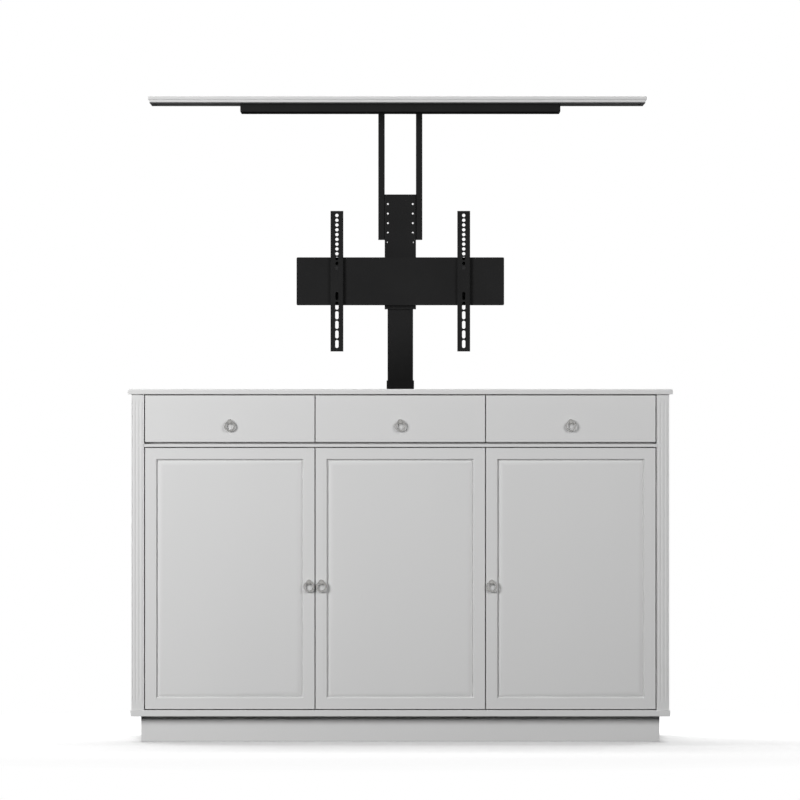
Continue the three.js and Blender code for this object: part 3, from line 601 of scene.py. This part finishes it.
def slab(width, height, depth, profile=(), back=0.8 * MM, front=0.9 * MM):
    rings = [(inset, drop, back) for inset, drop in arc(back, 3)]
    rings += [(inset, depth - drop, front) for inset, drop in reversed(arc(front, 5))]
    made = []
    for inset, rise, corner in [*rings, *profile]:
        half_x, half_y = width / 2 - inset, height / 2 - inset
        made.append(corner_points((-half_x, half_x), (-half_y, half_y), rise, corner, 3))
    return loft(made)


DOOR_FRAME, STEP_WIDTH, STEP_DEPTH = 33.5 * MM, 6.5 * MM, 6.2 * MM
COVE_WIDTH, FIELD_SETBACK = 14 * MM, 2.6 * MM


def door_profile(depth):
    """Inner edge of the frame, a slope down to a fine quirk, and a cove up to the flat field"""
    slope = [(0, 0), (0.3, 0.05), (0.6, 0.35), (4.4, 6.3), (4.5, 7.8), (5.8, 7.8), (5.9, 6.3), (6.5, 6.2)]
    made = [(DOOR_FRAME + across * MM, depth - down * MM, 0) for across, down in slope]
    for t in (0.1, 0.2, 0.32, 0.45, 0.6, 0.75, 0.9, 1.0):
        rise = (STEP_DEPTH - FIELD_SETBACK) * (13 * t - 5.5 * t * t) / 7.5
        made.append((DOOR_FRAME + STEP_WIDTH + COVE_WIDTH * t, depth - STEP_DEPTH + rise, 0))
    made.append((DOOR_FRAME + STEP_WIDTH + COVE_WIDTH + 0.8 * MM, depth - FIELD_SETBACK, 0))
    return made


def hinge_mesh(side, reach, depth):
    """Concealed hinge seen from the door's back: cup, flange, arm and foot, along +Y into the cabinet"""
    rows = [(0, -11.1), (16.6, -11.1), (17.1, -10.6), (17.1, 1.2), (16.6, 1.7), (15.4, 1.7),
            (15.1, 1.2), (15.1, -9.4), (0, -9.4)]
    cup = moved(turned_profile([(r * MM, z * MM) for r, z in rows], 48), turn=TO_BACK)
    flange = rounded_block((-12.9 * MM, 12.9 * MM), (-25.9 * MM, 25.9 * MM), (0.35 * MM, 1.85 * MM),
                           0.3 * MM, 0.2 * MM, 9 * MM, 6)
    flange = moved(flange, (0, 2.2 * MM, 0), TO_FRONT)
    rows = [(0, -1 * MM), (15.6 * MM, -1 * MM), (15.6 * MM, 4 * MM), (0, 4 * MM)]
    window = moved(turned_profile(rows, 48), turn=TO_BACK)
    parts = [cup, less(flange, [window])]
    for z in (-21, 21):
        parts.append(moved(screw_head(3.4 * MM, 1.6 * MM), (0, 1.7 * MM, z * MM), TO_BACK))

    def bar(x0, x1, y, half, bend):
        x = sorted((side * x0, side * x1))
        return rounded_block(x, y, (-half, half), bend, bend, bend, 3)

    parts.append(bar(-7.8 * MM, 9 * MM, (-6 * MM, 4.5 * MM), 5.2 * MM, 1.2 * MM))
    parts.append(bar(5 * MM, 18 * MM, (0.6 * MM, 8.4 * MM), 6.2 * MM, 1.5 * MM))
    parts.append(bar(15 * MM, reach - 1 * MM, (1.2 * MM, 10.6 * MM), 7.6 * MM, 2 * MM))
    parts.append(bar(reach - 8.6 * MM, reach - 0.2 * MM, (1.0 * MM, depth - 0.3 * MM),
                     7.8 * MM, 1.6 * MM))
    pin = turned_profile([(0, -6.4 * MM), (1.9 * MM, -6.4 * MM), (1.9 * MM, 6.4 * MM), (0, 6.4 * MM)], 20)
    parts.append(moved(pin, (side * 3 * MM, 0.5 * MM, 0)))
    for k in (0, 1):
        place = (side * (reach - 8.6 * MM), (14 + 7 * k) * MM, 0)
        parts.append(moved(screw_head(2.6 * MM, 1.1 * MM), place, (side * -90, "Y")))
    return joined(parts)


HINGE_SIDES = {"left": -1, "middle": 1, "right": 1}
CUP_RADIUS, CUP_DEPTH, CUP_OFFSET = 17.5 * MM, 11.5 * MM, 17.2 * MM
for bay in BAYS:
    dx, dy, dz = spans(f"{bay}_door")
    depth, side = dy[1] - dy[0], HINGE_SIDES[bay]
    mesh = slab(dx[1] - dx[0], dz[1] - dz[0], depth, door_profile(depth))
    mesh = stood(mesh, middle_of(dx), dy[1], middle_of(dz))
    cups = []
    for which in ("lower", "upper"):
        hx, hy, hz = spans(f"{bay}_door_{which}_hinge")
        cup_x = (hx[0] + CUP_OFFSET) if side > 0 else (hx[1] - CUP_OFFSET)
        reach = abs((hx[1] if side > 0 else hx[0]) - cup_x)
        cup = turned_profile([(CUP_RADIUS, -CUP_DEPTH), (CUP_RADIUS, 2 * MM)], 40)
        cups.append(moved(cup, (cup_x, dy[1], middle_of(hz)), TO_BACK))
        made = moved(hinge_mesh(side, reach, hy[1] - dy[1]), (cup_x, dy[1], middle_of(hz)))
        piece(f"{bay}_{which}_cup_hinge", made, zinc, f"{bay}_door",
              [f"{bay}_door_{which}_hinge"], FITTING_ANGLE)
        seat = hx[1] if side > 0 else hx[0]
        wings = []
        for lift in (-1, 1):
            z = sorted((middle_of(hz) + lift * 9.5 * MM, middle_of(hz) + lift * 25 * MM))
            x = sorted((seat + side * 0.3 * MM, seat - side * 1.3 * MM))
            wing = rounded_block(x, (dy[1] + 6 * MM, dy[1] + 24 * MM), z, 0.3 * MM, 0.3 * MM, 0.3 * MM, 2)
            place = (seat - side * 1.2 * MM, dy[1] + 15 * MM, middle_of(z))
            wings += [wing, moved(screw_head(3.6 * MM, 1.5 * MM), place, (side * -90, "Y"))]
        piece(f"{bay}_{which}_hinge_plate", joined(wings), zinc, "cabinet", (),
              FITTING_ANGLE)
    piece(f"{bay}_panel_door", less(mesh, cups), paint_upright, f"{bay}_door",
          [f"{bay}_door"], PROFILE_ANGLE)
    fx, fy, fz = spans(f"{bay}_drawer_front")
    mesh = slab(fx[1] - fx[0], fz[1] - fz[0], fy[1] - fy[0])
    mesh = stood(mesh, middle_of(fx), fy[1], middle_of(fz))
    piece(f"{bay}_drawer_face", mesh, paint_level, f"{bay}_drawer",
          [f"{bay}_drawer_front"], BOARD_ANGLE)
    ix, iy, iz = spans(f"{bay}_drawer_box")
    heads = []
    for x in (ix[0] + 60 * MM, middle_of(ix), ix[1] - 60 * MM):
        heads.append(moved(screw_head(3.8 * MM, 1.6 * MM), (x, iy[0] + 12 * MM, middle_of(iz)), TO_BACK))
    piece(f"{bay}_drawer_screws", joined(heads), steel_screw, f"{bay}_drawer", (),
          FITTING_ANGLE)


# Ring pulls
def pull_post():
    """Rose, waisted post and domed head along -Y, its seat at zero, with a flared eye across it"""
    rows = [(0, 0), (7.6, 0), (8, 0.35), (8, 1.2), (7.7, 1.75), (7.0, 2.0), (6.3, 2.1), (5.9, 2.5), (5.75, 3.4),
            (5.8, 4.6), (5.95, 6), (6, 8), (6, 11.4), (5.85, 12.5), (5.4, 13.4), (4.6, 14.1),
            (3.4, 14.6), (1.8, 14.9), (0, 15)]
    body = turned_profile([(r * MM, z * MM) for r, z in rows], 56)
    eye = []
    for k in range(-6, 7):
        x = k / 6 * 6.3
        eye.append(((14.25 - math.sqrt(11.75 ** 2 - x ** 2) + 0.35) * MM, x * MM))
    cutter = turned_profile([(0, -6.3 * MM), *eye, (0, 6.3 * MM)], 32)
    return moved(less(body, [moved(cutter, (0, 0, 8.2 * MM), (90, "Y"))]), (0, 0, 0), (90, "X"))


def torus(radius, stock, count, sides):
    """Ring standing in the XZ plane"""
    rings = []
    for k in range(count):
        a = 2 * math.pi * k / count
        ring = []
        for s in range(sides):
            b = 2 * math.pi * s / sides
            reach = radius + stock * math.cos(b)
            ring.append((reach * math.cos(a), stock * math.sin(b), reach * math.sin(a)))
        rings.append(ring)
    return loft(rings, closed=True)


post_mesh = pull_post()
for bay in BAYS:
    for kind in ("drawer", "door"):
        owner = f"{bay}_{kind}"
        qx, qy, qz = spans(f"{owner}_pull_post")
        post = moved(post_mesh.copy(), (middle_of(qx), qy[1], middle_of(qz)))
        piece(f"{owner}_turned_post", post, nickel, owner, [f"{owner}_pull_post"],
              FITTING_ANGLE)
        rx, ry, rz = spans(f"{owner}_pull_ring")
        ring = moved(torus(14.25 * MM, 2.5 * MM, 96, 20), (middle_of(rx), middle_of(ry), middle_of(rz)))
        piece(f"{owner}_round_ring", ring, nickel, f"{owner}_ring",
              [f"{owner}_pull_ring"], RING_ANGLE)


# Lid and its tray
LID_INSET, SHADE_SHEET_THICKNESS, SHADE_SHEET_DROP, SHADE_SHEET_WIDTH = 4.2 * MM, 0.5 * MM, 2.6 * MM, 8 * MM


def lid_ring(inset, level, corner, across=None):
    """Outline of the lid at one level. across is the inset of its two ends, where that differs"""
    x, y, _ = spans("lid_panel")
    across = inset if across is None else across
    return corner_points((x[0] + across, x[1] - across), (y[0] + inset, y[1] - inset), level, corner)


def lid_board():
    """Upper layer with a rounded edge, which lies on the cabinet top when the lift is down, and a
    lower one that drops into the cut-out"""
    z = spans("lid_panel")[2]
    step_top, low = z[0] + 7 * MM, z[0] + SHADE_SHEET_THICKNESS
    rings = [lid_ring(LID_INSET + i, low + d, 1.2 * MM) for i, d in arc(0.6 * MM, 3)]
    rings.append(lid_ring(LID_INSET, step_top, 1.2 * MM))
    rings += [lid_ring(i, step_top + d, 1.5 * MM, 0.4 * i) for i, d in arc(4.5 * MM, 6)]
    rings += [lid_ring(i, z[1] - d, 1.5 * MM, 0.4 * i) for i, d in reversed(arc(5 * MM, 7))]
    return loft(rings)


def lid_shade_sheet():
    """Sheet under the lid coloured dark grey, painted shade on the lid's underside, with a soft rim round the
    cut-out
    """
    low = spans("lid_panel")[2][0]
    edge, inner, ease = LID_INSET + 0.3 * MM, LID_INSET + 0.3 * MM + SHADE_SHEET_WIDTH, 0.5 * MM
    rim = low - SHADE_SHEET_DROP
    return loft([lid_ring(inner, low, 1 * MM), lid_ring(inner, rim + ease, 1 * MM),
                 lid_ring(inner - ease, rim, 1.5 * MM), lid_ring(edge + ease, rim, 1.2 * MM),
                 lid_ring(edge, rim + ease, 1 * MM), lid_ring(edge, low + SHADE_SHEET_THICKNESS, 1 * MM)])


def folded_tray():
    """Open tray of bent sheet, with round corners and a round bend along its floor"""
    x, y, z = spans("lid_tray")
    wall, corner, bend = 2 * MM, 5 * MM, 1.3 * MM
    levels = [(inset, z[0] - 0.8 * MM + drop) for inset, drop in arc(bend, 4)]
    levels += [(0, z[1] - 0.3 * MM), (0.3 * MM, z[1]), (wall - 0.3 * MM, z[1]),
               (wall, z[1] - 0.3 * MM), (wall, z[0] + wall)]
    return loft([inset_ring(x, y, inset, level, corner - min(inset, wall)) for inset, level in levels])


piece("lid_board", lid_board(), paint_level, "lift_top", ["lid_panel"], BOARD_ANGLE)
piece("lid_shade_sheet", lid_shade_sheet(), lid_shade_paint, "lift_top", (), BOARD_ANGLE)
piece("folded_tray", folded_tray(), black_coat, "lift_top", ["lid_tray"], SHEET_ANGLE)

# Column
for name in ("outer_tube", "column_head", "left_lid_arm", "right_lid_arm", "column_foot"):
    soften(name, 0.5 * MM, black_coat)
soften("middle_tube", 0.5 * MM, guide_coat_painted_shade)
soften("inner_tube", 0.5 * MM, tube_coat_painted_shade)
soften("crossbar", 0.8 * MM, black_coat)
soften("drive_spindle", 0.4 * MM, zinc)


# Screen mount
# Millimetres: pitches of the arms' holes and slots and of the bracket's holes, and how far from
# the middle the bracket's two columns of holes stand
HOLE_PITCH, SLOT_PITCH, BRACKET_PITCH, BRACKET_COLUMN = 15, 30, 30, 39
ARM_BOLT_DROP, FOOT_THICKNESS, SHEET_EASE = 179 * MM, 7.9 * MM, 0.25 * MM


def mast_channel():
    _, y, z = spans("mast_bracket")
    x = spans("left_lid_arm")[0][1] + 0.02 * MM, spans("right_lid_arm")[0][0] - 0.02 * MM
    body = moved(channel(x[1] - x[0], y[1] - y[0], 2.5 * MM, 3.2 * MM, z), (0, y[0], 0))
    tools = []
    for side in (-1, 1):
        for k in range(5):
            at = z[1] - (k + 1) * BRACKET_PITCH * MM
            cut = (y[0] - 5 * MM, y[0] + 8 * MM)
            tools.append(cross_hole(2.7 * MM, side * BRACKET_COLUMN * MM, at, cut))
    return less(body, tools)


def screen_arm(name):
    x, y, z = spans(name)
    body = moved(channel(x[1] - x[0], y[1] - y[0], 3 * MM, 2.6 * MM, z), (middle_of(x), y[0], 0))
    cut = (y[0] - 3 * MM, y[0] + 6 * MM)
    radius, centre = 5.1 * MM, middle_of(x)
    tools = [cross_hole(radius, centre, z[1] - (14 + HOLE_PITCH * k) * MM, cut) for k in range(12)]
    tools += [cross_hole(radius, centre, z[0] + (23.5 + SLOT_PITCH * k) * MM, cut, 7.4 * MM) for k in range(6)]
    return less(body, tools)


piece("mast_channel", mast_channel(), black_coat, "lift_top", ["mast_bracket"],
      SHEET_ANGLE, SHEET_EASE)
for name in ("left", "right"):
    ax, ay, az = spans(f"{name}_screen_arm")
    arm = screen_arm(f"{name}_screen_arm")
    piece(f"{name}_slotted_arm", arm, black_coat, "lift_top", [f"{name}_screen_arm"],
          SHEET_ANGLE, SHEET_EASE)
    bolt = moved(hex_bolt(4.6 * MM, 3.4 * MM), (middle_of(ax), ay[0], az[1] - ARM_BOLT_DROP), TO_FRONT)
    piece(f"{name}_arm_bolt", bolt, black_steel, "lift_top", (), FITTING_ANGLE)

# Fasteners of the column, seen from behind and inside
_, ky, kz = spans("column_head")
fasteners = []
for x in (-14, 14):
    for z in (35, 90):
        place = (x * MM, ky[0] + 6 * MM, kz[0] + z * MM)
        fasteners.append(moved(hex_bolt(5.2 * MM, 4.2 * MM), place, TO_BACK))
for side, name in ((-1, "left"), (1, "right")):
    lx, ly, lz = spans(f"{name}_lid_arm")
    face = (lx[1] if side < 0 else lx[0]) - side * 2.8 * MM
    for z in (30, 105):
        place = (face, middle_of(ly), lz[0] + z * MM)
        fasteners.append(moved(hex_bolt(5 * MM, 3.6 * MM), place, (side * -90, "Y")))
piece("mount_bolts", joined(fasteners), black_steel, "lift_top", (), FITTING_ANGLE)

gx, gy, gz = spans("column_foot")
bolts = []
for x in (gx[0] + 12 * MM, gx[1] - 12 * MM):
    for y in (gy[0] + 11 * MM, gy[1] - 11 * MM):
        bolts.append(moved(hex_bolt(5.6 * MM, 5 * MM), (x, y, gz[0] + FOOT_THICKNESS)))
piece("foot_bolts", joined(bolts), steel_screw, "cabinet", (), FITTING_ANGLE)


def gear_motor():
    """Gearbox with a joint line and cover screws, and the motor standing on it with its end cap"""
    x, y, z = spans("gear_motor")
    rings = []
    low, high = z[0], z[0] + 62 * MM
    for inset, drop in arc(3 * MM, 4):
        rings.append((inset, low + drop))
    seam = low + 38 * MM
    rings += [(0, seam - 0.8 * MM), (0.9 * MM, seam - 0.5 * MM), (0.9 * MM, seam + 0.5 * MM), (0, seam + 0.8 * MM)]
    for inset, drop in reversed(arc(3 * MM, 4)):
        rings.append((inset, high - drop))
    case = loft([inset_ring(x, y, inset, level, 7 * MM - inset, 5) for inset, level in rings])
    rows = [(29.4, 55), (29.4, 64), (30, 64.6), (30, 70), (28.6, 71), (28.6, 78), (30, 79)]
    for k in range(9):
        rows += [(30, 84 + 11 * k), (28.9, 85 + 11 * k), (28.9, 89 + 11 * k), (30, 90 + 11 * k)]
    rows += [(30, 204), (29, 206.4), (27, 207), (24, 207.4), (24, 216), (22.6, 218.4), (20, 218.9),
             (9, 218.9), (8, 217), (0, 217)]
    body = turned_profile([(r * MM, low + h * MM) for r, h in [(0, 55), *rows]], 64)
    parts = [case, moved(body, (middle_of(x), middle_of(y), 0))]
    for dx in (x[0] + 7 * MM, x[1] - 7 * MM):
        for dy in (y[0] + 7 * MM, y[1] - 7 * MM):
            parts.append(moved(screw_head(3.6 * MM, 2.2 * MM), (dx, dy, high)))
    return joined(parts)


def control_box():
    """Two-part case with a joint line, cover screws, louvres and a recessed power inlet"""
    x, y, z = spans("control_box")
    seam = z[0] + 29 * MM
    rings = [(inset, z[0] + drop) for inset, drop in arc(2.5 * MM, 4)]
    rings += [(0, seam - 0.7 * MM), (0.8 * MM, seam - 0.4 * MM), (0.8 * MM, seam + 0.4 * MM), (0, seam + 0.7 * MM)]
    rings += [(inset, z[1] - drop) for inset, drop in reversed(arc(2.5 * MM, 4))]
    case = loft([inset_ring(x, y, inset, level, 6 * MM - inset, 5) for inset, level in rings])
    middle = z[0] + 22 * MM
    tools = [rounded_block((x[0] - 5 * MM, x[0] + 14 * MM), (middle_of(y) - 14 * MM, middle_of(y) + 14 * MM),
                           (middle - 10 * MM, middle + 10 * MM), 2 * MM, 2 * MM, 0.5 * MM, 3)]
    for k in range(9):
        at = middle_of(x) - 40 * MM + 10 * MM * k
        tools.append(rounded_block((at - 1.6 * MM, at + 1.6 * MM), (y[0] - 5 * MM, y[0] + 3 * MM),
                                   (z[0] + 9 * MM, z[0] + 24 * MM), 0.2 * MM, 0.2 * MM, 0.2 * MM, 1))
    parts = [less(case, tools)]
    for across in (-1, 0, 1):
        y0 = middle_of(y) + across * 7 * MM
        z0 = middle + (0.25 - abs(across) / 2) * 7 * MM
        parts.append(rounded_block((x[0] + 5 * MM, x[0] + 15 * MM), (y0 - 1.4 * MM, y0 + 1.4 * MM),
                                   (z0 - 1.4 * MM, z0 + 1.4 * MM), 0.3 * MM, steps=2))
    for dx in (x[0] + 9 * MM, x[1] - 9 * MM):
        for dy in (y[0] + 9 * MM, y[1] - 9 * MM):
            parts.append(moved(screw_head(3 * MM, 0.8 * MM), (dx, dy, z[1] - 0.9 * MM)))
    return joined(parts)


piece("cased_gear_motor", gear_motor(), black_moulding, "cabinet", ["gear_motor"], CASE_ANGLE)
piece("cased_control_box", control_box(), black_moulding, "cabinet", ["control_box"], CASE_ANGLE)

# Floor, light and camera
FLOOR_LIFT, FLOOR_BOUNCE, FLOOR_FADE = 0.40, 0.01, (1.25, 2.4)


def floor_material():
    """White floor that keeps the shadow: what the camera sees is lifted to white, and what lights
    the part is not"""
    material = bpy.data.materials.new("pale_floor")
    material.use_nodes = True
    tree = material.node_tree
    tree.nodes.clear()
    out = tree.nodes.new("ShaderNodeOutputMaterial")
    seen = node(tree, "ShaderNodeBsdfDiffuse", Color=(0.93, 0.93, 0.93, 1))
    glow = node(tree, "ShaderNodeEmission", Strength=FLOOR_LIFT)
    both = tree.nodes.new("ShaderNodeAddShader")
    tree.links.new(seen.outputs[0], both.inputs[0])
    tree.links.new(glow.outputs[0], both.inputs[1])
    length = tree.nodes.new("ShaderNodeVectorMath")
    length.operation = "LENGTH"
    tree.links.new(place_of(tree), length.inputs[0])
    far = spread(tree, length.outputs["Value"], *FLOOR_FADE, 0, 1)
    fade = tree.nodes.new("ShaderNodeMixShader")
    tree.links.new(far, fade.inputs[0])
    tree.links.new(both.outputs[0], fade.inputs[1])
    tree.links.new(node(tree, "ShaderNodeEmission", Strength=1.0).outputs[0], fade.inputs[2])
    dim = node(tree, "ShaderNodeBsdfDiffuse", Color=(FLOOR_BOUNCE, FLOOR_BOUNCE, FLOOR_BOUNCE, 1))
    path = tree.nodes.new("ShaderNodeLightPath")
    choose = tree.nodes.new("ShaderNodeMixShader")
    tree.links.new(path.outputs["Is Diffuse Ray"], choose.inputs[0])
    tree.links.new(fade.outputs[0], choose.inputs[1])
    tree.links.new(dim.outputs[0], choose.inputs[2])
    tree.links.new(choose.outputs[0], out.inputs["Surface"])
    return material


FLOOR_X, FLOOR_Y, FLOOR_THICKNESS = (-4.5, 4.5), (-4.6, 5.0), 0.02
floor_mesh = loft([corner_points(FLOOR_X, FLOOR_Y, -FLOOR_THICKNESS), corner_points(FLOOR_X, FLOOR_Y, 0)])
floor_mesh.materials.append(floor_material())
floor = bpy.data.objects.new("studio_floor", floor_mesh)
bpy.context.scene.collection.objects.link(floor)

world = bpy.data.worlds.new("studio")
bpy.context.scene.world = world
world.use_nodes = True
sky = world.node_tree
sky.nodes.clear()
sky_out = sky.nodes.new("ShaderNodeOutputWorld")
soft = node(sky, "ShaderNodeBackground", Color=(1, 1, 1, 1), Strength=0.01)
white = node(sky, "ShaderNodeBackground", Color=(1, 1, 1, 1), Strength=1.0)
path = sky.nodes.new("ShaderNodeLightPath")
shows_white = path.outputs["Is Camera Ray"]
for kind in ("Is Glossy Ray", "Is Transmission Ray"):
    either = sky.nodes.new("ShaderNodeMath")
    either.operation = "MAXIMUM"
    sky.links.new(shows_white, either.inputs[0])
    sky.links.new(path.outputs[kind], either.inputs[1])
    shows_white = either.outputs[0]
choose = sky.nodes.new("ShaderNodeMixShader")
sky.links.new(shows_white, choose.inputs[0])
sky.links.new(soft.outputs[0], choose.inputs[1])
sky.links.new(white.outputs[0], choose.inputs[2])
sky.links.new(choose.outputs[0], sky_out.inputs["Surface"])


def lamp(name, place, target, size, power, lights_floor=False):
    """Soft box. The floor has a lamp of its own, so that its shadow is set apart from the object's light"""
    light = bpy.data.lights.new(name, "AREA")
    light.shape = "RECTANGLE"
    light.size, light.size_y = size
    light.energy = power
    made = bpy.data.objects.new(name, light)
    made.location = place
    made.rotation_mode = "QUATERNION"
    made.rotation_quaternion = (Vector(target) - Vector(place)).to_track_quat("-Z", "Y")
    made.visible_camera = False
    made.visible_glossy = False
    bpy.context.scene.collection.objects.link(made)
    group = bpy.data.collections.new(f"{name}_receivers")
    group.objects.link(floor)
    group.collection_objects[0].light_linking.link_state = "INCLUDE" if lights_floor else "EXCLUDE"
    made.light_linking.receiver_collection = group


lamp("key", (-3.08, -3.58, 1.89), (0, -0.28, 0.8), (1.81, 1.69), 164)
lamp("fill", (2.92, -4.17, 2.35), (0, -0.28, 0.8), (1.95, 2.85), 100)
lamp("overhead", (0.0, 1.25, 4.2), (0, 1.25, 0), (5.0, 3.1), 120)
lamp("left_side", (-4.0, 1.1, 1.3), (-0.84, 0, 0.8), (2.2, 2.0), 50)
lamp("right_side", (4.0, 1.1, 1.3), (0.84, 0, 0.8), (2.2, 2.0), 62)
lamp("rear", (0.6, 5.2, 2.3), (0, 0.28, 0.8), (3.6, 2.0), 110)
lamp("floor_wash", (-0.36, 1.51, 4.53), (-0.36, 1.51, 0), (5.38, 2.36), 321, True)

CAMERA_PLACE, LENS, SENSOR = (-0.001, -26.28, 1.054), 379.5, 36
camera_data = bpy.data.cameras.new("camera")
camera = bpy.data.objects.new("camera", camera_data)
camera.location = CAMERA_PLACE
camera.rotation_euler = (math.radians(90), 0, 0)
camera_data.sensor_width = SENSOR
camera_data.lens = LENS
camera_data.clip_start, camera_data.clip_end = 0.1, 200
bpy.context.scene.collection.objects.link(camera)
bpy.context.scene.camera = camera
bpy.context.scene.view_settings.view_transform = "Standard"
